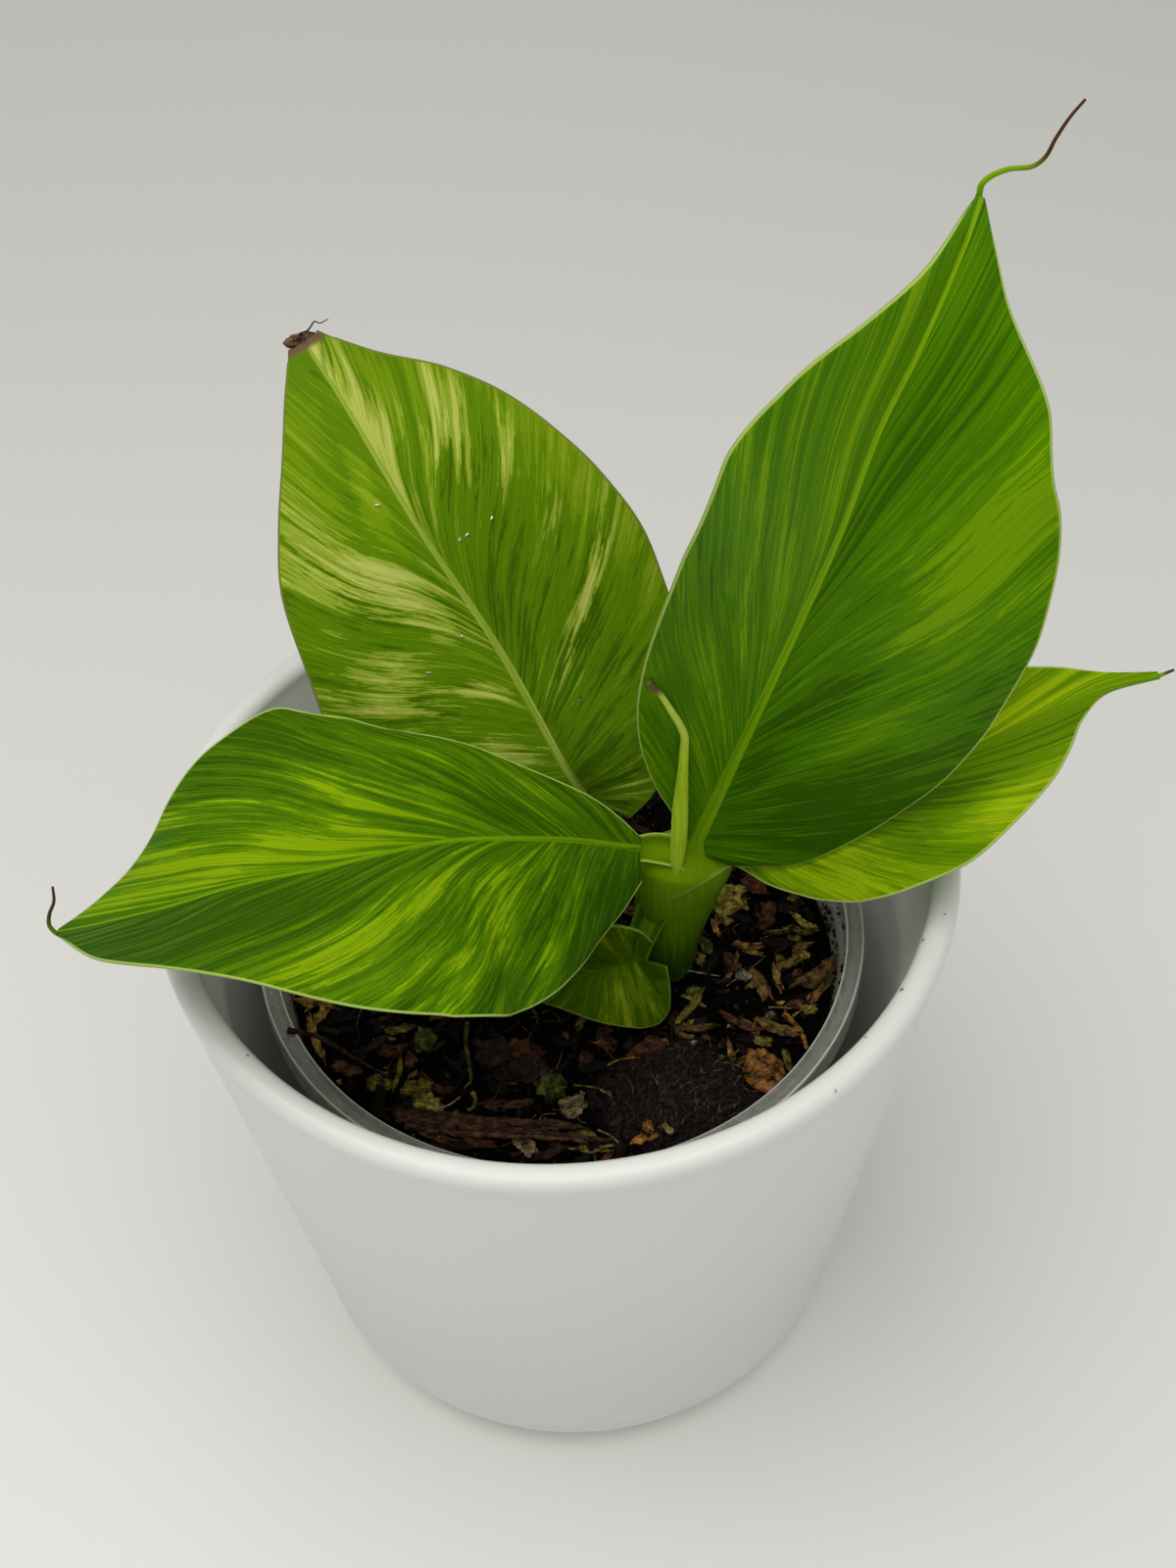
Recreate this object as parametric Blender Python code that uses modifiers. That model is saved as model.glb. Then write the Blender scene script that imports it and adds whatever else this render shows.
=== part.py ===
"""A young variegated banana plant in its clear nursery pot, standing inside a white planter.

The leaves, the stem, the potting mix, the nursery pot and the planter are separate solids.
The origin is the middle of the planter's underside, +Z is up, and the front faces -Y.
"""
import math

import bmesh
import bpy
import numpy as np
from mathutils import Matrix, Vector

MM = 0.001

# General driving dimensions, in millimetres
GAP = 0.3
MERGE = 0.01
ROUND_STEPS = 48
SMOOTH_ANGLE = 40
CURVE_STEPS = 40

# Planter: rim radius, height, wall and the roundings at its foot and lip
PLANTER_RADIUS = 70.0
PLANTER_HEIGHT = 123.0
PLANTER_WALL = 4.7
LIP_HEIGHT = 6.0
LIP_OVERHANG = 0.8
LIP_ROUNDING = 2.3
LIP_CREST_ANGLE = 80
FOOT_RADIUS = 54.0
FOOT_ROUNDING = 14.0
FLOOR_THICKNESS = 5.0
FLOOR_ROUNDING = 8.0

# Nursery pot: rim height above the table, rim width, wall and drainage holes
NURSERY_TOP = 100.0
NURSERY_RADIUS = 54.7
NURSERY_RIM_WIDTH = 3.3
NURSERY_RIM_HEIGHT = 5.5
NURSERY_RIM_ROUNDING = 0.6
NURSERY_BASE_RADIUS = 40.0
NURSERY_WALL = 1.0
NURSERY_STEP = 0.8
NURSERY_STEP_DROP = 7.0
NURSERY_FLOOR_RING = 21.0
DRAIN_COUNT = 6
DRAIN_SIDES = 12
DRAIN_RADIUS = 3.0
DRAIN_CIRCLE = 27.0

# Potting mix: mean height of its surface, its lumps, and the bits of bark in it
MIX_TOP = 88.5
MIX_RINGS = 8
LUMP_HEIGHT = 0.9
BARK_SEED = 7
BARK_COUNT = 38
BARK_LENGTH = (5.0, 11.0)
BARK_WIDTH = (2.2, 4.2)
BARK_THICKNESS = 1.6
BARK_TAPER = 0.55
BARK_LIFT = 0.3
BARK_TILT = 22.0
BARK_CLEAR_OF_WALL = 0.5
BARK_CLEAR_OF_STEM = 15.0
LOW_LEAF_ZONE = (6.5, -13.5, 20.0)

# Larger things in the mix: middle, half sizes and turn about Z in degrees
COIR_PLUG = ((19.5, -30.5, 87.5), (13.0, 10.5, 5.5), 0.0)
NUT_CHIP = ((34.6, -26.9, 90.0), (4.4, 4.0, 3.0), 35.0)
OLIVE_CHIP = ((-25.6, -28.0, 89.5), (5.2, 4.4, 2.6), 35.0)
GREY_LUMP = ((33.0, 13.5, 89.5), (6.0, 6.5, 4.0), -15.0)
BARK_STRIP = ((-32.0, -33.5, 90.4), (-17.0, -36.5, 90.2), (-3.0, -38.0, 89.8), (9.0, -39.5, 89.2))
BARK_STRIP_RADIUS = 1.9
BARK_STRIP_POINTS = 9
LUMP_RIPPLE = 0.07

# Stem: middle of each ring, then its half widths along X and Y
STEM_RINGS = (
    (19.5, 0.0, 70.0, 4.2, 4.2),
    (19.5, 0.0, 88.0, 4.6, 4.6),
    (19.3, 0.0, 93.0, 5.5, 5.2),
    (19.5, 0.0, 98.0, 6.2, 5.6),
    (20.4, 0.0, 104.0, 7.0, 5.8),
    (21.4, 0.0, 110.0, 7.8, 6.0),
    (22.3, 0.0, 116.0, 8.6, 6.2),
    (22.8, 0.0, 120.0, 9.0, 6.4),
    (22.9, 0.0, 122.0, 8.6, 6.2),
)
STEM_SIDES = 24

# Leaves: the blade follows a midrib, and its two halves rise from it
BLADE_THICKNESS = 0.8
BLADE_ROWS = 16
HALF_COLUMNS = 5
VEIN_FAN = 1.3
VEIN_BOW = 0.25
RIB_SIDES = 2
RIB_SINK = 0.85
RIB_TAPER = 0.7
RIB_POINT_SPACING = 5.5
MIDRIB_SAMPLES = 241
ARC_STEPS = 12

# A leaf's routes are points in millimetres, from the stem to the tip. "face" is where the upper side
# looks at the base and at the tip. "rib" gives the rib's radius at the stem, at the foot of the blade,
# at the tip and at the end of the tail. Each half has its half width, its rise beside the midrib and
# its rise at the margin, in degrees, by the share of the blade's length.
LEAVES = {
    "leaf_back_right": {
        "petiole": ((22.0, -0.5, 116.0), (22.6, -0.9, 119.0)),
        "blade": (
            (23.7, -2.3, 122.4), (29.7, -3.1, 143.1), (36.9, -4.0, 167.9), (45.0, -3.4, 194.0),
            (50.6, -0.2, 212.0), (56.0, 4.5, 222.0), (63.0, 14.1, 233.0), (66.3, 21.6, 236.0),
        ),
        "tail": (
            (66.3, 21.8, 238.0), (67.6, 22.0, 239.2), (70.0, 22.0, 240.2), (73.4, 22.0, 240.5),
            (75.0, 22.0, 241.9), (76.2, 22.0, 245.0), (77.8, 22.0, 248.3), (79.6, 22.0, 251.0),
        ),
        "face": ((0.15, -0.85, 0.45), (0.25, -0.85, 0.5)),
        "rib": (2.0, 2.0, 0.55, 0.4),
        "left": {
            "width": (
                (0, 1), (0.05, 5), (0.1, 10.3), (0.15, 14), (0.2, 17), (0.3, 21.5), (0.4, 24.5),
                (0.5, 26.5), (0.6, 27.7), (0.68, 27.2), (0.74, 20.5), (0.8, 13.5), (0.9, 4.7), (1, 0.6),
            ),
            "rise": ((0, -10), (0.1, -5), (0.2, 4), (0.35, 14), (0.5, 20), (0.7, 24), (0.88, 24), (1, 5)),
            "edge": ((0, -15), (0.1, -10), (0.2, 0), (0.35, 10), (0.5, 18), (0.7, 24), (0.88, 24), (1, 5)),
        },
        "right": {
            "width": (
                (0, 8), (0.05, 17.5), (0.1, 22), (0.2, 28.5), (0.3, 33), (0.4, 34.8), (0.5, 35),
                (0.6, 33), (0.7, 29), (0.8, 22), (0.9, 8.5), (1, 0.6),
            ),
            "rise": ((0, 30), (0.3, 28), (0.7, 26), (0.88, 24), (1, 5)),
            "edge": ((0, 10), (0.3, 10), (0.7, 10), (0.88, 16), (1, 5)),
        },
    },
    "leaf_back_left": {
        "petiole": ((17.0, 3.0, 104.0), (13.2, 4.2, 108.5), (10.6, 5.0, 114.8), (8.2, 5.5, 121.3)),
        "blade": (
            (5.9, 5.8, 127.2), (2.4, 6.9, 134.2), (-7.9, 17.4, 153.0), (-21.3, 30.6, 171.5),
            (-33.2, 49.3, 183.5), (-39.1, 59.5, 187.0),
        ),
        "tail": ((-41.0, 62.6, 187.6),),
        "face": ((-0.1, -0.75, 0.65), (0.1, -0.75, 0.65)),
        "rib": (2.2, 2.0, 0.6, 0.6),
        "left": {
            "width": (
                (0, 1), (0.05, 8), (0.1, 18), (0.15, 26), (0.2, 31), (0.3, 33.5), (0.4, 31.5), (0.5, 29),
                (0.6, 26), (0.7, 20.5), (0.8, 14.5), (0.9, 9), (1, 3),
            ),
            "rise": ((0, 30), (0.3, 18), (1, 15)),
            "edge": ((0, 20), (0.3, 5), (1, 5)),
        },
        "right": {
            "width": (
                (0, 9), (0.05, 16), (0.1, 21.5), (0.15, 26), (0.2, 28.5), (0.3, 30.5), (0.4, 32), (0.5, 31),
                (0.6, 28.5), (0.7, 24.5), (0.8, 18), (0.9, 9), (1, 3),
            ),
            "rise": ((0, 30), (0.3, 18), (1, 15)),
            "edge": ((0, 20), (0.3, 5), (1, 5)),
        },
    },
    "leaf_front_left": {
        "petiole": ((18.6, -1.2, 118.5), (17.2, -1.8, 121.2)),
        "blade": (
            (14.0, -2.9, 123.5), (3.4, -7.6, 131.5), (-6.7, -13.1, 139.0), (-16.5, -17.3, 144.0),
            (-26.1, -21.8, 147.0), (-35.7, -25.2, 148.0), (-48.9, -27.5, 147.5), (-62.5, -28.5, 143.5),
            (-73.3, -27.3, 139.0), (-80.9, -26.2, 136.0),
        ),
        "tail": ((-81.8, -26.5, 138.0), (-81.3, -26.5, 141.0), (-80.0, -26.3, 144.0), (-79.6, -26.0, 147.2)),
        "face": ((0.0, -0.45, 0.9), (0.0, 0.1, 1.0)),
        "rib": (2.0, 1.8, 0.5, 0.4),
        "left": {
            "width": (
                (0, 6), (0.05, 12), (0.1, 16.5), (0.2, 23.5), (0.3, 29.5), (0.4, 31.5), (0.5, 29.5),
                (0.6, 24.5), (0.7, 19), (0.8, 13.5), (0.9, 9), (1, 0.6),
            ),
            "rise": ((0, 10), (0.3, 8), (0.85, 13), (1, 3)),
            "edge": ((0, -10), (0.3, -20), (0.85, 3), (1, 3)),
        },
        "right": {
            "width": (
                (0, 2), (0.05, 5), (0.1, 7.5), (0.2, 11.5), (0.3, 15.5), (0.4, 20), (0.5, 25.5),
                (0.6, 29), (0.7, 25.5), (0.8, 19), (0.9, 8.5), (1, 0.6),
            ),
            "rise": ((0, 35), (0.3, 22), (0.85, 17), (1, 3)),
            "edge": ((0, 20), (0.3, 10), (0.85, 6), (1, 3)),
        },
    },
    "leaf_right": {
        "petiole": ((26.0, 2.8, 114.0),),
        "blade": (
            (29.5, 2.5, 117.5), (39.6, -0.3, 123.0), (51.0, -1.2, 131.0), (62.0, -2.2, 139.0),
            (69.9, -1.9, 144.0), (81.2, 0.4, 148.5), (91.5, 4.9, 150.0), (102.2, 7.7, 150.0),
        ),
        "tail": ((105.0, 8.6, 150.2),),
        "face": ((0.0, -0.35, 0.9), (0.1, -0.35, 0.9)),
        "rib": (1.8, 1.8, 0.5, 0.4),
        "left": {
            "width": (
                (0, 1), (0.05, 4), (0.1, 9), (0.2, 14), (0.3, 17), (0.4, 17), (0.5, 15.5), (0.6, 13.5),
                (0.7, 11), (0.8, 7), (0.9, 2.3), (1, 0.6),
            ),
            "rise": ((0, 20), (0.3, 15), (0.85, 11), (1, 3)),
            "edge": ((0, 10), (0.3, 5), (1, 3)),
        },
        "right": {
            "width": (
                (0, 3), (0.05, 5.5), (0.1, 8.5), (0.15, 11.5), (0.2, 14.8), (0.3, 19.3), (0.4, 20.5),
                (0.5, 20), (0.6, 16.5), (0.7, 11.5), (0.8, 4), (0.9, 1), (1, 0.6),
            ),
            "rise": ((0, -15), (0.3, 20), (0.85, 18), (1, 3)),
            "edge": ((0, -25), (0.3, 12), (0.85, 10), (1, 3)),
        },
    },
    "leaf_low": {
        "petiole": ((17.6, -2.6, 107.6), (14.8, -6.6, 106.4)),
        "blade": (
            (13.3, -11.0, 103.5), (8.7, -11.9, 102.6), (3.6, -12.5, 100.6), (-1.7, -12.3, 97.8),
            (-7.0, -11.0, 94.5),
        ),
        "tail": ((-8.5, -10.8, 93.6),),
        "face": ((0.1, -0.8, 0.6), (0.0, -0.5, 0.9)),
        "rib": (1.3, 1.1, 0.5, 0.4),
        "left": {
            "width": (
                (-0.2, 4), (-0.17, 9), (-0.1, 13.5), (0, 14.8), (0.1, 14), (0.3, 12), (0.5, 8.5),
                (0.75, 3.5), (1, 0.6),
            ),
            "rise": ((-0.2, -20), (0.3, 0), (1, 0)),
            "edge": ((-0.2, -24), (0.3, -22), (1, 0)),
        },
        "right": {
            "width": (
                (-0.15, 4), (-0.1, 8), (0, 10.5), (0.15, 11), (0.3, 11), (0.5, 9.5), (0.75, 6), (1, 0.6),
            ),
            "rise": ((-0.15, 50), (0.3, 40), (1, 20)),
            "edge": ((-0.15, 40), (0.3, 30), (1, 10)),
        },
    },
}

# Furled leaf: the rolled young blade and its thin dry tip, with a radius at each point
FURLED_ROUTE = (
    (20.6, -4.4, 117.3), (20.7, -4.4, 121.2), (21.1, -4.4, 128.5), (21.4, -4.6, 135.7),
    (21.7, -5.2, 143.3), (21.9, -6.2, 151.4), (21.9, -6.9, 155.6), (21.0, -7.7, 159.4),
    (19.7, -8.6, 163.3), (18.1, -9.8, 168.0), (16.1, -11.1, 172.4),
)
FURLED_RADII = (1.5, 1.5, 1.5, 1.4, 1.15, 0.9, 0.75, 0.65, 0.6, 0.5, 0.4)

# Colours as linear RGB, then roughness
FINISHES = {
    "planter": ((0.78, 0.79, 0.80), 0.35),
    "nursery_pot": ((0.42, 0.44, 0.43), 0.25),
    "potting_mix": ((0.022, 0.014, 0.008), 0.95),
    "pseudostem": ((0.17, 0.25, 0.012), 0.5),
    "furled_leaf": ((0.32, 0.42, 0.05), 0.5),
    "leaf_back_right": ((0.09, 0.21, 0.008), 0.42),
    "leaf_back_left": ((0.11, 0.20, 0.015), 0.5),
    "leaf_front_left": ((0.13, 0.27, 0.008), 0.42),
    "leaf_right": ((0.17, 0.29, 0.01), 0.42),
    "leaf_low": ((0.10, 0.20, 0.01), 0.48),
}


def clear_scene():
    for obj in list(bpy.data.objects):
        bpy.data.objects.remove(obj, do_unlink=True)


def collection(name):
    group = bpy.data.collections.new(name)
    bpy.context.scene.collection.children.link(group)
    return group


def material(name):
    colour, roughness = FINISHES[name]
    mat = bpy.data.materials.new(name)
    mat.use_nodes = True
    shader = mat.node_tree.nodes["Principled BSDF"]
    shader.inputs["Base Color"].default_value = (*colour, 1.0)
    shader.inputs["Roughness"].default_value = roughness
    shader.inputs["Metallic"].default_value = 0.0
    mat.diffuse_color = (*colour, 1.0)
    return mat


def add_object(name, mesh, group):
    obj = bpy.data.objects.new(name, mesh)
    group.objects.link(obj)
    return obj


def object_from_bmesh(name, bm, group):
    mesh = bpy.data.meshes.new(name)
    bm.to_mesh(mesh)
    bm.free()
    return add_object(name, mesh, group)


def finish_part(obj):
    """Gives a part its material and shades it smooth, apart from its sharp edges."""
    obj.data.materials.clear()
    obj.data.materials.append(material(obj.name))
    obj.data.shade_smooth()
    obj.data.set_sharp_from_angle(angle=math.radians(SMOOTH_ANGLE))


def apply_modifiers(obj):
    bpy.context.view_layer.update()
    graph = bpy.context.evaluated_depsgraph_get()
    mesh = bpy.data.meshes.new_from_object(obj.evaluated_get(graph))
    obj.modifiers.clear()
    obj.data = mesh


def boolean(obj, operation, other):
    """Joins or cuts an object with another one, applies the result and removes the other."""
    mod = obj.modifiers.new(operation.lower(), "BOOLEAN")
    mod.operation = operation
    mod.solver = "EXACT"
    mod.object = other
    apply_modifiers(obj)
    bpy.data.objects.remove(other, do_unlink=True)


def boolean_all(obj, operation, group):
    """Joins or cuts an object with everything in a collection, then removes the collection."""
    mod = obj.modifiers.new(operation.lower(), "BOOLEAN")
    mod.operation = operation
    mod.solver = "EXACT"
    mod.operand_type = "COLLECTION"
    mod.collection = group
    apply_modifiers(obj)
    for other in list(group.objects):
        bpy.data.objects.remove(other, do_unlink=True)
    bpy.data.collections.remove(group)


def revolve(name, profile, group):
    """Turns a profile of (radius, height) points, which ends on the axis at both ends."""
    bm = bmesh.new()
    verts = [bm.verts.new((r * MM, 0.0, z * MM)) for r, z in profile]
    for first, second in zip(verts, verts[1:]):
        bm.edges.new((first, second))
    obj = object_from_bmesh(name, bm, group)
    screw = obj.modifiers.new("turn", "SCREW")
    screw.angle = math.tau
    screw.steps = ROUND_STEPS
    screw.render_steps = ROUND_STEPS
    screw.use_merge_vertices = True
    screw.merge_threshold = MERGE * MM
    apply_modifiers(obj)
    return obj


def arc(centre, radius, start, end, count):
    """Points of an arc in the (radius, height) plane, between two angles in degrees."""
    angles = [math.radians(start + (end - start) * k / count) for k in range(count + 1)]
    return [(centre[0] + radius * math.cos(a), centre[1] + radius * math.sin(a)) for a in angles]


def smooth_curve(points, count):
    """Evenly spaced points along a centripetal Catmull-Rom curve, and its length."""
    pts = np.asarray(points, float)
    knots = np.r_[0, np.cumsum(np.sqrt(np.linalg.norm(np.diff(pts, axis=0), axis=1)))]
    pts = np.vstack([2 * pts[0] - pts[1], pts, 2 * pts[-1] - pts[-2]])
    knots = np.r_[-knots[1], knots, 2 * knots[-1] - knots[-2]]
    fine = []
    for i in range(1, len(pts) - 2):
        k0, k1, k2, k3 = knots[i - 1:i + 3]
        p0, p1, p2, p3 = pts[i - 1:i + 3]
        for k in np.linspace(k1, k2, CURVE_STEPS, endpoint=False):
            a1 = ((k1 - k) * p0 + (k - k0) * p1) / (k1 - k0)
            a2 = ((k2 - k) * p1 + (k - k1) * p2) / (k2 - k1)
            a3 = ((k3 - k) * p2 + (k - k2) * p3) / (k3 - k2)
            b1 = ((k2 - k) * a1 + (k - k0) * a2) / (k2 - k0)
            b2 = ((k3 - k) * a2 + (k - k1) * a3) / (k3 - k1)
            fine.append(((k2 - k) * b1 + (k - k1) * b2) / (k2 - k1))
    fine = np.array(fine + [pts[-2]])
    along = np.r_[0, np.cumsum(np.linalg.norm(np.diff(fine, axis=0), axis=1))]
    wanted = np.linspace(0, along[-1], count)
    return np.stack([np.interp(wanted, along, fine[:, k]) for k in range(3)], 1), along[-1]


def smooth_table(table, at):
    """Reads a table of (share, value) pairs with a smooth curve that never overshoots."""
    xs = np.array([pair[0] for pair in table], float)
    ys = np.array([pair[1] for pair in table], float)
    width = np.diff(xs)
    slope = np.diff(ys) / width
    tangent = np.zeros(len(xs))
    same_way = slope[:-1] * slope[1:] > 0
    total = np.where(same_way, slope[:-1] + slope[1:], 1.0)
    tangent[1:-1] = np.where(same_way, 2 * slope[:-1] * slope[1:] / total, 0.0)
    tangent[0] = slope[0]
    tangent[-1] = slope[-1]
    at = np.clip(np.asarray(at, float), xs[0], xs[-1])
    i = np.clip(np.searchsorted(xs, at, side="right") - 1, 0, len(xs) - 2)
    t = (at - xs[i]) / width[i]
    start = (1 + 2 * t) * (1 - t) ** 2 * ys[i] + t * (1 - t) ** 2 * width[i] * tangent[i]
    end = t * t * (3 - 2 * t) * ys[i + 1] + t * t * (t - 1) * width[i] * tangent[i + 1]
    return start + end


def midrib_frame(leaf):
    """The midrib's points with the directions along it, to the leaf's right and off its face."""
    mid, length = smooth_curve(leaf["blade"], MIDRIB_SAMPLES)
    along = np.gradient(mid, axis=0)
    along /= np.linalg.norm(along, axis=1)[:, None]
    share = np.linspace(0, 1, MIDRIB_SAMPLES)[:, None]
    face = (1 - share) * np.array(leaf["face"][0]) + share * np.array(leaf["face"][1])
    face -= (face * along).sum(1)[:, None] * along
    face /= np.linalg.norm(face, axis=1)[:, None]
    return mid, length, along, np.cross(along, face), face


def half_blade(leaf, key):
    """Points of one half of a blade, in rows that follow its veins from midrib to margin."""
    mid, length, along, side, face = midrib_frame(leaf)
    half = leaf[key]
    first = half["width"][0][0]
    step = np.linspace(0, 1, BLADE_ROWS + 1)
    leave = step ** VEIN_FAN
    arrive = first + (1 - first) * step
    out = np.linspace(0, 1, HALF_COLUMNS + 1)
    progress = out + VEIN_BOW * np.sin(math.tau * out) / math.tau
    share = leave[:, None] + (arrive - leave)[:, None] * progress[None]
    reach = smooth_table(half["width"], arrive)[:, None] * out[None]
    rise = np.radians(smooth_table(half["rise"], share))
    edge = np.radians(smooth_table(half["edge"], share))
    across = np.zeros_like(reach)
    lift = np.zeros_like(reach)
    for k in range(ARC_STEPS):
        bend = rise + (edge - rise) * (k + 0.5) / ARC_STEPS * out[None]
        across += np.cos(bend) * reach / ARC_STEPS
        lift += np.sin(bend) * reach / ARC_STEPS
    sign = -1 if key == "left" else 1
    spot = np.clip(share, 0, 1) * (MIDRIB_SAMPLES - 1)
    low = np.clip(spot.astype(int), 0, MIDRIB_SAMPLES - 2)
    mix = (spot - low)[..., None]
    middle = mid[low] * (1 - mix) + mid[low + 1] * mix
    middle = middle + along[0] * (np.minimum(share, 0) * length)[..., None]
    sideways = side[low] * (1 - mix) + side[low + 1] * mix
    upwards = face[low] * (1 - mix) + face[low + 1] * mix
    return middle + sign * sideways * across[..., None] + upwards * lift[..., None]


def blade(name, leaf, group):
    """A thin blade, as one grid from the left margin over the midrib to the right margin."""
    left = half_blade(leaf, "left")
    right = half_blade(leaf, "right")
    points = np.concatenate([left[:, :0:-1], right], axis=1)
    bm = bmesh.new()
    rows, columns = points.shape[:2]
    bmesh.ops.create_grid(bm, x_segments=columns - 1, y_segments=rows - 1, size=1.0)
    bm.verts.ensure_lookup_table()
    for index, vert in enumerate(bm.verts):
        vert.co = Vector(points[index // columns, index % columns]) * MM
    bmesh.ops.triangulate(bm, faces=bm.faces[:], quad_method="FIXED")
    obj = object_from_bmesh(name, bm, group)
    solid = obj.modifiers.new("thickness", "SOLIDIFY")
    solid.thickness = BLADE_THICKNESS * MM
    solid.offset = 0.0
    apply_modifiers(obj)
    return obj


def tube(name, points, radii, group):
    """A closed tube through the points, with a radius at each of them."""
    curve = bpy.data.curves.new(name, "CURVE")
    curve.dimensions = "3D"
    curve.bevel_depth = MM
    curve.bevel_resolution = RIB_SIDES
    curve.use_fill_caps = True
    spline = curve.splines.new("POLY")
    spline.points.add(len(points) - 1)
    for spot, point, radius in zip(spline.points, points, radii):
        spot.co = (*(Vector(point) * MM), 1.0)
        spot.radius = radius
    source = add_object(name + "_route", curve, group)
    bpy.context.view_layer.update()
    graph = bpy.context.evaluated_depsgraph_get()
    mesh = bpy.data.meshes.new_from_object(source.evaluated_get(graph))
    bpy.data.objects.remove(source, do_unlink=True)
    bm = bmesh.new()
    bm.from_mesh(mesh)
    bpy.data.meshes.remove(mesh)
    bmesh.ops.remove_doubles(bm, verts=bm.verts, dist=MERGE * MM)
    bmesh.ops.recalc_face_normals(bm, faces=bm.faces)
    return object_from_bmesh(name, bm, group)


def rib(name, leaf, group):
    """The petiole, the midrib's ridge under the blade and the drawn-out tip, as one tapered tube."""
    mid, length, _, _, face = midrib_frame(leaf)
    stalk_radius, foot_radius, tip_radius, end_radius = leaf["rib"]
    petiole = np.array(leaf["petiole"], float)
    tail = np.array(leaf["tail"], float)
    count = max(5, round(length / RIB_POINT_SPACING))
    samples = np.linspace(0, MIDRIB_SAMPLES - 1, count).astype(int)
    ridge_radii = foot_radius + (tip_radius - foot_radius) * np.linspace(0, 1, count) ** RIB_TAPER
    ridge = mid[samples] - face[samples] * (ridge_radii * RIB_SINK)[:, None]
    stalk_radii = np.linspace(stalk_radius, foot_radius, len(petiole) + 1)[:-1]
    tail_radii = np.linspace(tip_radius, end_radius, len(tail) + 1)[1:]
    points = np.concatenate([petiole, ridge, tail])
    return tube(name, points, np.concatenate([stalk_radii, ridge_radii, tail_radii]), group)


def stem_body(name, grow, group):
    """The stem's rings joined by side faces. With grow, it is the room that its neighbours leave."""
    bm = bmesh.new()
    loops = []
    last = len(STEM_RINGS) - 1
    for index, (x, y, z, wide, deep) in enumerate(STEM_RINGS):
        shift = -grow if index == 0 else grow if index == last else 0.0
        loop = []
        for k in range(STEM_SIDES):
            turn = math.tau * k / STEM_SIDES
            spot = Vector((x + (wide + grow) * math.cos(turn), y + (deep + grow) * math.sin(turn), z + shift))
            loop.append(bm.verts.new(spot * MM))
        loops.append(loop)
    for lower, upper in zip(loops, loops[1:]):
        for k in range(STEM_SIDES):
            after = (k + 1) % STEM_SIDES
            bm.faces.new((lower[k], lower[after], upper[after], upper[k]))
    bm.faces.new(loops[0][::-1])
    bm.faces.new(loops[-1])
    return object_from_bmesh(name, bm, group)


def planter_inner_radius(z):
    """Radius of the planter's inner wall at a height, from the floor's rounding to the lip."""
    bottom = FOOT_RADIUS - PLANTER_WALL
    top = PLANTER_RADIUS - PLANTER_WALL
    share = (z - FLOOR_THICKNESS - FLOOR_ROUNDING) / (PLANTER_HEIGHT - FLOOR_THICKNESS - FLOOR_ROUNDING)
    return bottom + (top - bottom) * share


def make_planter(group):
    lip_bottom = PLANTER_HEIGHT - LIP_HEIGHT
    body_top = PLANTER_RADIUS - LIP_OVERHANG
    inner_lip = planter_inner_radius(PLANTER_HEIGHT - LIP_ROUNDING)
    floor_corner = (FOOT_RADIUS - PLANTER_WALL - FLOOR_ROUNDING, FLOOR_THICKNESS + FLOOR_ROUNDING)
    foot_corner = (FOOT_RADIUS - FOOT_ROUNDING, FOOT_ROUNDING)
    profile = [(0.0, FLOOR_THICKNESS), (floor_corner[0] / 2, FLOOR_THICKNESS)]
    profile += arc(floor_corner, FLOOR_ROUNDING, -90, 0, 3)
    profile += arc((inner_lip + LIP_ROUNDING, PLANTER_HEIGHT - LIP_ROUNDING), LIP_ROUNDING, 180, 90, 3)
    outer_lip = (PLANTER_RADIUS - LIP_ROUNDING, PLANTER_HEIGHT - LIP_ROUNDING)
    profile += arc(outer_lip, LIP_ROUNDING, LIP_CREST_ANGLE, 0, 3)
    profile += [(PLANTER_RADIUS, lip_bottom + LIP_OVERHANG), (body_top, lip_bottom)]
    profile += arc(foot_corner, FOOT_ROUNDING, 0, -90, 5)
    profile += [(foot_corner[0] / 2, 0.0), (0.0, 0.0)]
    return revolve("planter", profile, group)


def nursery_outer_radius(z):
    """Radius of the nursery pot's tapered wall at a height above the table."""
    bottom = FLOOR_THICKNESS + GAP
    top = NURSERY_TOP - NURSERY_RIM_HEIGHT
    top_radius = NURSERY_RADIUS - NURSERY_RIM_WIDTH + NURSERY_WALL - NURSERY_STEP
    return NURSERY_BASE_RADIUS + (top_radius - NURSERY_BASE_RADIUS) * (z - bottom) / (top - bottom)


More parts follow.
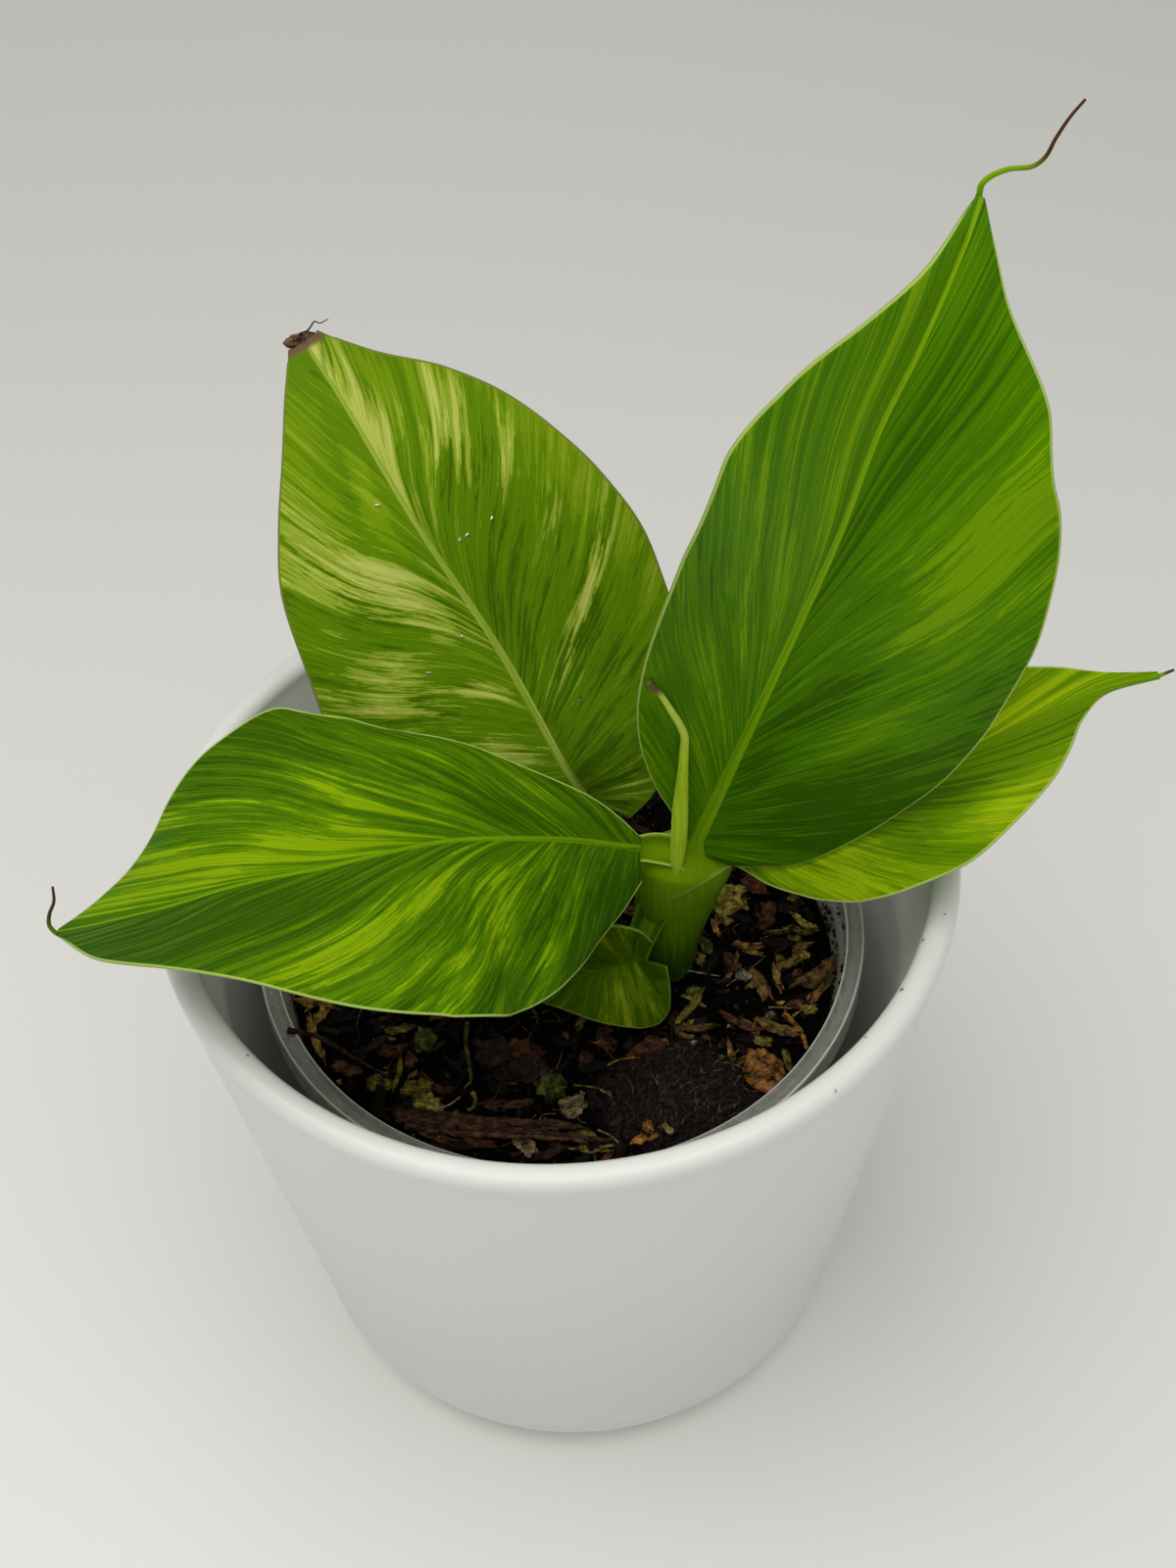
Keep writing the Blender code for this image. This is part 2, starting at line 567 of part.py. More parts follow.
def make_nursery_pot(group):
    bottom = FLOOR_THICKNESS + GAP
    floor = bottom + NURSERY_WALL
    rim_foot = NURSERY_TOP - NURSERY_RIM_HEIGHT
    step = NURSERY_TOP - NURSERY_STEP_DROP
    inner_top = NURSERY_RADIUS - NURSERY_RIM_WIDTH
    inner_step = nursery_outer_radius(step) - NURSERY_WALL
    rim_edge = NURSERY_RADIUS - NURSERY_WALL
    profile = [
        (0.0, floor),
        (NURSERY_FLOOR_RING, floor),
        (nursery_outer_radius(floor) - NURSERY_WALL, floor),
        (inner_step, step),
        (inner_top, step + NURSERY_STEP),
        (inner_top, NURSERY_TOP - NURSERY_RIM_ROUNDING),
        (inner_top + NURSERY_RIM_ROUNDING, NURSERY_TOP),
        (NURSERY_RADIUS - NURSERY_RIM_ROUNDING, NURSERY_TOP),
        (NURSERY_RADIUS, NURSERY_TOP - NURSERY_RIM_ROUNDING),
        (NURSERY_RADIUS, rim_foot),
        (rim_edge, rim_foot),
        (rim_edge, NURSERY_TOP - NURSERY_WALL),
        (inner_top + NURSERY_WALL, NURSERY_TOP - NURSERY_WALL),
        (inner_top + NURSERY_WALL, step),
        (nursery_outer_radius(step - NURSERY_STEP), step - NURSERY_STEP),
        (NURSERY_BASE_RADIUS, bottom),
        (NURSERY_FLOOR_RING, bottom),
        (0.0, bottom),
    ]
    pot = revolve("nursery_pot", profile, group)
    drains = collection("drains")
    for k in range(DRAIN_COUNT):
        turn = math.tau * k / DRAIN_COUNT
        spot = (DRAIN_CIRCLE * math.cos(turn), DRAIN_CIRCLE * math.sin(turn), bottom + NURSERY_WALL / 2)
        bm = bmesh.new()
        bmesh.ops.create_cone(
            bm, cap_ends=True, segments=DRAIN_SIDES, radius1=DRAIN_RADIUS * MM, radius2=DRAIN_RADIUS * MM,
            depth=4 * NURSERY_WALL * MM, matrix=Matrix.Translation(Vector(spot) * MM),
        )
        object_from_bmesh("drain", bm, drains)
    boolean_all(pot, "DIFFERENCE", drains)
    return pot


def mix_radius(z):
    """Radius of the potting mix at a height, just clear of the nursery pot's wall."""
    return nursery_outer_radius(z) - NURSERY_WALL - GAP


def mix_height(x, y):
    """Height of the potting mix at a place: gentle lumps that die away towards the pot's wall."""
    lumps = math.sin(0.31 * x + 1.3) * math.sin(0.27 * y + 0.4)
    ripples = 0.6 * math.sin(0.53 * x - 0.41 * y)
    fade = 1 - min(1.0, math.hypot(x, y) / mix_radius(MIX_TOP)) ** 6
    return MIX_TOP + LUMP_HEIGHT * (lumps + ripples) * fade


def turned_about(centre, turn, tilt=0.0):
    """A place and direction for a piece: turned about Z, then tilted about its own long axis."""
    place = Matrix.Translation(Vector(centre) * MM)
    return place @ Matrix.Rotation(math.radians(turn), 4, "Z") @ Matrix.Rotation(math.radians(tilt), 4, "Y")


def add_bark(group):
    """Flat bits of bark, half sunk in the surface of the mix by a seeded rule."""
    draw = np.random.default_rng(BARK_SEED)
    room = mix_radius(MIX_TOP)
    stem_x, stem_y = STEM_RINGS[1][0], STEM_RINGS[1][1]
    zone_x, zone_y, zone_radius = LOW_LEAF_ZONE
    placed = 0
    while placed < BARK_COUNT:
        length = draw.uniform(*BARK_LENGTH)
        width = draw.uniform(*BARK_WIDTH)
        reach = room - math.hypot(length, width) / 2 - BARK_CLEAR_OF_WALL
        distance = reach * math.sqrt(draw.uniform(0.0, 1.0))
        around = draw.uniform(0.0, math.tau)
        turn = draw.uniform(0.0, 180.0)
        tilt = draw.uniform(-BARK_TILT, BARK_TILT)
        x = distance * math.cos(around)
        y = distance * math.sin(around)
        if math.hypot(x - stem_x, y - stem_y) < BARK_CLEAR_OF_STEM:
            continue
        if math.hypot(x - zone_x, y - zone_y) < zone_radius:
            continue
        placed += 1
        bm = bmesh.new()
        bmesh.ops.create_cube(bm, size=1.0)
        bmesh.ops.scale(bm, vec=Vector((length, width, BARK_THICKNESS)) * MM, verts=bm.verts)
        for vert in bm.verts:
            if vert.co.x > 0:
                vert.co.y *= BARK_TAPER
        bm.transform(turned_about((x, y, mix_height(x, y) + BARK_LIFT), turn, tilt))
        object_from_bmesh("bark", bm, group)


def add_lump(spec, group):
    centre, half_sizes, turn = spec
    bm = bmesh.new()
    bmesh.ops.create_icosphere(bm, subdivisions=2, radius=1.0)
    for vert in bm.verts:
        vert.co *= 1 + LUMP_RIPPLE * math.sin(5 * vert.co.x + 3) * math.sin(6 * vert.co.y - 2)
    bmesh.ops.scale(bm, vec=Vector(half_sizes) * MM, verts=bm.verts)
    bm.transform(turned_about(centre, turn))
    object_from_bmesh("lump", bm, group)


def make_potting_mix(group):
    floor = FLOOR_THICKNESS + GAP + NURSERY_WALL + GAP
    profile = [(mix_radius(MIX_TOP) * k / MIX_RINGS, MIX_TOP) for k in range(MIX_RINGS + 1)]
    profile += [(mix_radius(floor), floor), (0.0, floor)]
    mix = revolve("potting_mix", profile, group)
    for vert in mix.data.vertices:
        if vert.co.z > (MIX_TOP - 1) * MM:
            vert.co.z = mix_height(vert.co.x / MM, vert.co.y / MM) * MM
    pieces = collection("mix_pieces")
    for spec in (COIR_PLUG, NUT_CHIP, OLIVE_CHIP, GREY_LUMP):
        add_lump(spec, pieces)
    add_bark(pieces)
    points, _ = smooth_curve(BARK_STRIP, BARK_STRIP_POINTS)
    swell = np.sin(np.linspace(0, math.pi, BARK_STRIP_POINTS))
    tube("strip", points, BARK_STRIP_RADIUS * (0.6 + 0.4 * swell), pieces)
    boolean_all(mix, "UNION", pieces)
    boolean(mix, "DIFFERENCE", stem_body("stem_room", GAP, group))
    return mix


def make_leaf(name, leaf, group):
    obj = blade(name, leaf, group)
    boolean(obj, "UNION", rib(name + "_rib", leaf, group))
    boolean(obj, "DIFFERENCE", stem_body("stem_room", GAP, group))
    return obj


def make_furled_leaf(group):
    obj = tube("furled_leaf", FURLED_ROUTE, FURLED_RADII, group)
    boolean(obj, "DIFFERENCE", stem_body("stem_room", GAP, group))
    return obj


def main():
    clear_scene()
    group = collection("potted_banana_plant")
    make_planter(group)
    make_nursery_pot(group)
    make_potting_mix(group)
    stem_body("pseudostem", 0.0, group)
    for name, leaf in LEAVES.items():
        make_leaf(name, leaf, group)
    make_furled_leaf(group)
    for obj in group.objects:
        finish_part(obj)


main()
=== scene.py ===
"""The looks of a young variegated banana plant in its pots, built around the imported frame.

Lengths are in millimetres, and add_piece turns them into metres. The routes, widths and profiles
repeat those of the solids, so each finer piece keeps the form of the solid that it replaces. The stem's
top, the two open petioles and the right foot of leaf_back_left follow the photograph more closely.
"""

import math

import bpy
import numpy as np
from mathutils import Matrix, Vector, noise


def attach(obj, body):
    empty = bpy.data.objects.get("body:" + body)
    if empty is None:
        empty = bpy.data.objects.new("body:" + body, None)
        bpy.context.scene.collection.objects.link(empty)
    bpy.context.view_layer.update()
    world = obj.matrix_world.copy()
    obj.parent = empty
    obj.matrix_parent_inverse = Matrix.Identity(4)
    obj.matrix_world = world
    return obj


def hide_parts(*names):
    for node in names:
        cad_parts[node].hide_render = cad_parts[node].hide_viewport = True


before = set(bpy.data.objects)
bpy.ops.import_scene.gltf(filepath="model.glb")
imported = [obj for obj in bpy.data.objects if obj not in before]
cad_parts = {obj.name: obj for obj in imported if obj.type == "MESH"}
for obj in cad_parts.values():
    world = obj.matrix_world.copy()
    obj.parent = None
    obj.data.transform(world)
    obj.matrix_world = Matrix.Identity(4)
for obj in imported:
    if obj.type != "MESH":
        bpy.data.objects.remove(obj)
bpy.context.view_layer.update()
MM = 0.001

# Camera: it looks at a point above the pot's axis, from the front and from above
CAMERA_TARGET = (6.0, 0.0, 137.5)
CAMERA_DISTANCE = 398.0
CAMERA_PITCH = 47.7
CAMERA_ROLL = -2.46
CAMERA_LENS = 54.0
CAMERA_SENSOR = 36.0
PHOTO_SIZE = (1200, 1600)
FOCAL = CAMERA_LENS / CAMERA_SENSOR * PHOTO_SIZE[1]

# Light: sizes are in metres and the power is in watts
LIGHT_PLACE = (-115.0, -105.0, 880.0)
LIGHT_TARGET = (-20.0, -40.0, 0.0)
LIGHT_SIZE = (1.0, 0.8)
LIGHT_POWER = 5.1
LIGHT_COLOUR = (1.0, 0.985, 0.95)
ROOM_COLOUR = (1.0, 0.99, 0.95, 1.0)
ROOM_STRENGTH = 0.5

# Paper sheet under the pot: it runs level from the front to the back, bends and then rises
STAGE_SIDE = 2200.0
STAGE_FRONT = -1600.0
STAGE_BACK = 900.0
STAGE_BEND = 500.0
STAGE_TOP = 2200.0
# The paper darkens from near to far: painted shade for the light falling off behind the pot
PAPER_NEAR = (0.845, 0.85, 0.835)
PAPER_FAR_SHADED = (0.665, 0.67, 0.65)

# Planter
PLANTER_RADIUS = 70.0
PLANTER_HEIGHT = 123.0
PLANTER_WALL = 4.7
LIP_HEIGHT = 6.0
LIP_OVERHANG = 0.8
LIP_ROUNDING = 2.3
FOOT_RADIUS = 54.0
FOOT_ROUNDING = 14.0
FLOOR_THICKNESS = 5.0
FLOOR_ROUNDING = 8.0
POT_SEGMENTS = 192
# Glaze colours: the low colour is painted shade on the lower outside, and the inside colour is painted
# light on the inner wall
GLAZE_SHADED_LOW = (0.67, 0.675, 0.67)
GLAZE_HIGH = (0.75, 0.76, 0.735)
GLAZE_LIT_INSIDE = (0.92, 0.93, 0.88)
WALL_LEAN = 0.139

# Specks of dirt on the planter: angle, radius, height, size and colour
PLANTER_SPECKS = (
    (-22.0, 65.4, 122.4, 0.45, (0.02, 0.015, 0.01)), (-32.0, 65.9, 122.6, 0.5, (0.16, 0.1, 0.06)),
    (-17.0, 67.9, 122.9, 0.25, (0.08, 0.06, 0.05)), (-42.0, 65.9, 122.6, 0.3, (0.2, 0.17, 0.13)),
    (-51.5, 69.2, 122.3, 0.4, (0.45, 0.43, 0.38)), (-101.0, 69.0, 111.0, 0.25, (0.25, 0.23, 0.2)),
    (-91.0, 69.1, 114.0, 0.3, (0.3, 0.28, 0.25)), (-128.0, 69.2, 120.0, 0.3, (0.35, 0.33, 0.3)),
    (-140.0, 66.4, 122.8, 0.35, (0.3, 0.26, 0.2)), (100.0, 66.5, 122.8, 0.4, (0.2, 0.16, 0.12)),
)

# Nursery pot
GAP = 0.3
NURSERY_TOP = 100.0
NURSERY_RADIUS = 54.7
NURSERY_RIM_WIDTH = 3.3
NURSERY_RIM_HEIGHT = 5.5
NURSERY_BASE_RADIUS = 40.0
NURSERY_WALL = 1.0
NURSERY_STEP = 0.8
NURSERY_STEP_DROP = 7.0
BEAD = 0.45
# Radii of the painted highlights along the rim's edges
PLASTIC_GLINT_RADII = (51.6, 54.45)
PLASTIC_COLOUR = (0.28, 0.285, 0.25)
PLASTIC_SCUFFS = (0.36, 0.365, 0.32)
PLASTIC_DIRT = (0.07, 0.055, 0.035)
# Colour of the painted highlights along the rim's edges
PLASTIC_EDGE_GLINT = (0.72, 0.73, 0.66)

# Potting mix
MIX_TOP = 88.5
LUMP_HEIGHT = 0.9
BED_RINGS = 90
BED_SEGMENTS = 220
MIX_COLOURS = ((0.001, 0.0007, 0.0005), (0.008, 0.0045, 0.0025))
COIR_COLOURS = ((0.005, 0.004, 0.004), (0.036, 0.026, 0.025))
PIT_COLOUR = (0.008, 0.005, 0.003)
CHIP_SHADE = (0.3, 0.26, 0.24)
CHIP_GLOW = (1.7, 1.65, 1.4)

# Potting mix: what the photograph shows of it, by pixels of its 1200 by 1600 frame. A flake has its two
# ends, its width in millimetres, its tint and its lift off the bed. A lump has its middle, its half sizes
# and its tint. A strand has its route, its radius, its tint and its lift.
FLAKES = (
    ((760, 901), (784, 910), 3.4, "rust", 0.6), ((778, 922), (788, 944), 3.6, "rust", 0.2),
    ((786, 957), (810, 950), 1.3, "olive", 1.2), ((808, 950), (832, 956), 1.4, "olive", 1.2),
    ((751, 965), (780, 964), 1.5, "tan", 0.8), ((760, 972), (781, 974), 1.0, "tan", 0.9),
    ((741, 974), (755, 989), 2.6, "rust", 0.7), ((768, 992), (788, 1018), 2.6, "bark", 1.2),
    ((789, 983), (796, 1008), 1.6, "tan", 1.0), ((817, 1010), (848, 984), 3.6, "bark", 1.4),
    ((825, 1021), (850, 997), 1.8, "bark", 0.9), ((802, 989), (817, 974), 2.2, "olive", 0.7),
    ((816, 977), (823, 972), 1.7, "yellow", 1.0), ((743, 1037), (778, 1050), 1.9, "rust", 1.0),
    ((776, 1046), (814, 1061), 2.2, "bark", 1.0), ((769, 1063), (787, 1065), 1.9, "olive", 0.5),
    ((716, 1010), (699, 1035), 1.5, "olive", 1.0), ((694, 1054), (724, 1053), 1.6, "bark", 1.3),
    ((643, 1082), (672, 1065), 4.2, "rust", 0.9), ((657, 1152), (665, 1158), 1.8, "amber", 0.9),
    ((810, 937), (830, 952), 1.6, "yellow", 1.4), ((796, 928), (812, 930), 2.6, "dusk", 1.6),
    ((728, 938), (732, 952), 1.0, "tan", 0.8), ((804, 960), (816, 960), 1.2, "olive", 0.5),
    ((307, 1021), (345, 1024), 2.2, "tan", 1.0), ((332, 1028), (323, 1047), 1.8, "tan", 0.9),
    ((315, 1038), (325, 1077), 1.4, "tan", 1.2), ((377, 1074), (393, 1057), 1.8, "plum", 0.8),
    ((390, 1054), (418, 1050), 1.6, "olive", 0.8), ((390, 1069), (414, 1071), 2.6, "rust", 0.7),
    ((410, 1083), (403, 1111), 0.9, "olive", 1.1), ((413, 1077), (424, 1085), 2.2, "rust", 0.5),
    ((573, 1133), (598, 1126), 3.6, "beige", 0.9), ((528, 1163), (547, 1173), 2.6, "beige", 0.7),
    ((587, 1176), (623, 1174), 1.6, "olive", 0.7), ((430, 1156), (477, 1171), 1.6, "rust", 0.6),
    ((470, 1163), (503, 1172), 1.5, "rust", 0.6), ((648, 1167), (667, 1153), 2.3, "amber", 1.1),
    ((675, 1157), (687, 1162), 1.3, "beige", 0.9), ((343, 1090), (368, 1100), 2.4, "rust", 0.5),
    ((430, 1103), (460, 1117), 1.7, "rust", 0.5), ((520, 1077), (550, 1072), 2.2, "rust", 0.6),
    ((497, 1053), (510, 1058), 1.8, "dusk", 0.6), ((670, 1068), (680, 1065), 1.7, "yellow", 0.8),
)
LUMPS = (
    ((744, 918), 3.4, 3.6, 2.4, "yellow"), ((759, 1000), 1.5, 1.3, 1.0, "grey"),
    ((826, 1029), 1.3, 1.0, 0.9, "yellow"), ((786, 1037), 1.1, 0.8, 0.7, "grey"),
    ((687, 1042), 0.8, 0.7, 0.7, "olive"), ((706, 1044), 0.8, 0.7, 0.6, "yellow"),
    ((720, 1061), 0.8, 0.7, 0.5, "rust"), ((387, 1104), 2.4, 1.7, 1.3, "olive"),
    ((426, 1112), 2.6, 1.8, 1.6, "olive"), ((437, 1126), 2.4, 1.8, 1.6, "yellow"),
    ((562, 1105), 2.6, 2.6, 1.4, "moss"), ((435, 1063), 1.9, 3.2, 0.9, "moss"),
    ((506, 1076), 3.0, 3.3, 1.7, "plum"), ((529, 1069), 3.7, 2.5, 2.1, "rust"),
    ((541, 1091), 3.1, 2.9, 1.8, "plum"), ((516, 1097), 3.2, 2.4, 1.4, "dusk"),
    ((721, 966), 1.0, 1.8, 0.8, "moss"), ((714, 980), 0.9, 1.6, 0.7, "olive"),
    ((709, 1009), 1.6, 1.2, 0.7, "moss"), ((826, 937), 0.9, 0.9, 0.9, "dusk"),
    ((833, 947), 0.8, 0.8, 0.8, "dusk"), ((736, 1077), 0.7, 0.6, 0.5, "moss"),
    ((707, 1068), 0.8, 0.4, 0.4, "grey"), ((678, 1063), 0.7, 0.6, 0.5, "yellow"),
)
STRANDS = (
    (((477, 1043), (475, 1063), (479, 1087), (480, 1104), (474, 1110)), 0.5, "moss", 1.6),
    (((482, 1115), (485, 1122), (482, 1131), (477, 1133)), 0.45, "olive", 1.6),
    (((440, 1132), (457, 1128), (470, 1119)), 0.22, "beige", 1.8),
    (((800, 1035), (810, 1044), (819, 1056), (823, 1070)), 0.6, "amber", 1.9),
    (((809, 1037), (816, 1032), (822, 1029)), 0.2, "beige", 1.8),
    (((700, 990), (716, 993), (734, 996)), 0.17, "pale", 2.2),
    (((700, 1033), (692, 1043), (692, 1052), (698, 1057), (708, 1058)), 0.75, "olive", 1.6),
    (((620, 1087), (633, 1081), (653, 1079)), 0.22, "amber", 2.6),
    (((612, 1112), (623, 1117), (635, 1115)), 0.2, "olive", 1.6),
    (((585, 1107), (608, 1110), (623, 1115)), 0.18, "olive", 1.5),
    (((784, 1028), (796, 1028), (808, 1029)), 0.18, "beige", 1.6),
    (((468, 1147), (464, 1139), (467, 1133)), 0.6, "bark", 2.6),
    (((610, 1153), (623, 1159), (631, 1166)), 0.22, "beige", 1.8),
)
TINTS = {
    "tan": (0.23, 0.135, 0.033), "bark": (0.13, 0.075, 0.02), "rust": (0.07, 0.026, 0.01),
    "olive": (0.14, 0.11, 0.017), "yellow": (0.28, 0.23, 0.045), "moss": (0.06, 0.08, 0.008),
    "grey": (0.14, 0.14, 0.1), "beige": (0.21, 0.16, 0.08), "amber": (0.28, 0.13, 0.02),
    "dusk": (0.01, 0.006, 0.004), "plum": (0.03, 0.014, 0.011), "pale": (0.26, 0.24, 0.18),
    "soot": (0.002, 0.0013, 0.001), "white": (0.7, 0.7, 0.62),
}
COIR_PLUG = ((19.5, -30.5, 87.5), (13.0, 10.5, 5.5))
NUT_CHIP = ((34.6, -26.9, 90.0), (3.2, 4.4, 3.0), 25.0)
BARK_STRIP = ((-32.0, -33.5, 90.4), (-17.0, -36.5, 90.2), (-3.0, -38.0, 89.8), (9.0, -39.5, 89.2))
TWIG = ((-48.3, -21.4, 100.5), (-43.2, -21.7, 98.6), (-37.0, -23.8, 94.6), (-31.0, -26.0, 91.3))
NUT_COLOUR = (0.2, 0.085, 0.017)
BARK_COLOUR = (0.07, 0.032, 0.018)
BARK_STRANDS = 9

# Loose bits: how many, their sizes from and to, and their tints
LOOSE_FLAKES = 360
FLAKE_SIZE = ((1.6, 6.2), (0.8, 2.2), (0.25, 0.7))
DARK_TINTS = ("soot", "dusk", "plum", "dusk", "soot", "rust")
LIGHT_TINTS = ("bark", "tan", "olive", "rust", "dusk", "bark")
CRUMBS = 1500
WALL_CRUMBS = 130
CRUMB_SIZE = (0.25, 0.75)
CRUMB_TINTS = ("soot", "dusk", "soot", "soot", "soot", "dusk", "soot", "dusk", "plum", "rust")
PALE_SHARE = 0.03
CRUMB_CORNERS = np.array([(1, 0, 0), (0, 1, 0), (-1, 0, 0), (0, -1, 0), (0, 0, 1), (0, 0, -1)], float)
CRUMB_SIDES = ((0, 1, 4), (1, 2, 4), (2, 3, 4), (3, 0, 4), (1, 0, 5), (2, 1, 5), (3, 2, 5), (0, 3, 5))

# Fibres: how many, their length and their radius from and to, how much they stray, and their tints
LOOSE_FIBRES = (170, (3.0, 9.0), (0.07, 0.14), 0.12, ("bark", "rust", "tan", "plum", "beige", "dusk"))
COIR_TINTS = ("plum", "dusk", "plum", "rust", "bark", "dusk", "plum", "grey")
COIR_FIBRES = (260, (1.5, 4.5), (0.04, 0.08), 0.04, COIR_TINTS)

# Stem: middle of each ring, then its half widths along X and Y
STEM_RINGS = (
    (19.5, 0.0, 70.0, 4.2, 4.2),
    (19.5, 0.0, 88.0, 4.6, 4.6),
    (19.3, 0.0, 93.0, 5.5, 5.2),
    (19.5, 0.0, 98.0, 6.2, 5.6),
    (20.4, 0.0, 104.0, 7.0, 5.8),
    (21.4, 0.0, 110.0, 7.8, 6.0),
    (22.3, 0.0, 116.0, 8.6, 6.2),
    (22.8, 0.0, 120.0, 9.0, 6.4),
    (22.9, 0.0, 122.0, 8.6, 6.2),
)

# The stem's top: it narrows into the largest leaf's midrib, beside the front leaf's open petiole
STEM_CROWN = (
    (22.3, 0.0, 117.6, 8.5, 6.1),
    (22.5, -0.1, 119.0, 7.3, 5.4),
    (23.2, -0.3, 120.2, 5.4, 4.3),
    (24.4, -0.6, 122.0, 3.8, 3.0),
    (25.5, -1.1, 125.5, 2.9, 2.0),
    (26.3, -1.6, 130.0, 2.3, 1.4),
    (27.6, -2.2, 136.0, 1.6, 0.8),
    (28.9, -2.7, 141.0, 0.9, 0.3),
)
CHANNEL_ROUTE = (
    (24.5, -2.9, 120.5), (21.0, -2.8, 122.2), (17.0, -2.3, 122.9), (14.0, -2.9, 123.6), (11.5, -4.0, 125.0),
)
CHANNEL_RADII = (2.9, 2.8, 2.75, 2.3, 1.7)
CHANNEL_UP = (0.0, -0.5, 0.85)
CHANNEL_OPENING = 88.0
CHANNEL_WALL = 0.7

LOW_ROUTE = ((19.5, -1.0, 109.5), (16.3, -4.6, 107.8), (14.2, -8.3, 105.4), (13.2, -11.2, 103.3))
LOW_RADII = (3.3, 3.1, 2.7, 1.9)
LOW_UP = (-0.35, -0.55, 0.75)

# Margin of the outer sheath: angle round the stem in degrees, and height
SHEATH_MARGIN = (
    (246.0, 111.5), (264.0, 114.0), (284.0, 116.3), (304.0, 117.5), (328.0, 117.5), (350.0, 115.0),
)
SHEATH_FADE = 14.0
SHEATH_THICKNESS = 0.35
RIPPLE = 0.035

# Colours of the stem, each of which takes over between two heights. The darker low colours are painted
# shade from the leaves and the pot.
STEM_FOOT_SHADED_COLOUR = (0.025, 0.07, 0.001)
STEM_COLOURS = (
    (90.0, 108.0, (0.085, 0.18, 0.001)), (106.0, 119.0, (0.13, 0.25, 0.002)),
    (119.0, 128.0, (0.17, 0.33, 0.003)),
)
STEM_STREAK_COLOUR = (0.2, 0.34, 0.01)
SHEATH_EDGE_COLOUR = (0.4, 0.5, 0.1)

# Dry cap and thread at the tip of the back left leaf, and white specks on its face by the photo's pixels
DRY_CAP = (-39.9, 60.7, 186.7)
DRY_CAP_SIZE = (2.8, 0.9, 1.5)
DRY_COLOUR = (0.2, 0.13, 0.075)
THREAD_COLOUR = (0.012, 0.006, 0.005)
SPECK_SIZE = (1.0, 0.35, 0.2)
DUST = ((387, 516), (500, 529), (478, 546), (474, 649), (594, 715), (433, 685), (471, 548))
DRY_THREAD = (
    (-40.5, 61.3, 186.7), (-38.9, 61.5, 187.7), (-38.0, 61.5, 188.7), (-37.2, 61.7, 189.7),
    (-36.4, 61.6, 189.4), (-35.5, 61.5, 189.8), (-34.8, 61.3, 190.4),
)

# Leaves
BLADE_THICKNESS = 0.5
BLADE_ROWS = 240
HALF_COLUMNS = 30
MIDRIB_SAMPLES = 241
CURVE_STEPS = 40
ARC_STEPS = 12
ROW_CROWDING = 1.6
COLUMN_CROWDING = 1.5
LAST_COLUMN = 0.988
SLOPE_STEP = 0.004
RIB_SINK = 0.85
RIB_TAPER = 0.7
HALVES = ("left", "right")
FOOT_SAMPLES = (0, 6, 12)
TIP_SAMPLES = (-14, -7, -1)
LIMB_ROWS = 60
LIMB_SIDES = 20
TAIL_TAPER = 0.55

# Distance that the leaf material reads on a part without a rib or a margin
FAR = 5.0

# Relief of the blades: fine pleats between the veins, broad swells, and the crumpled dry tip
PLEAT_DEPTH = 0.02
PLEAT_PITCH = 3.1
PLEAT_START = 3
PLEAT_END = 1.5
SWELL_DEPTH = 0.5
SWELL_SIZE = 17.0
CRUMPLE_DEPTH = 0.7
CRUMPLE_SIZE = 1.6
CRUMPLE_START = 0.95

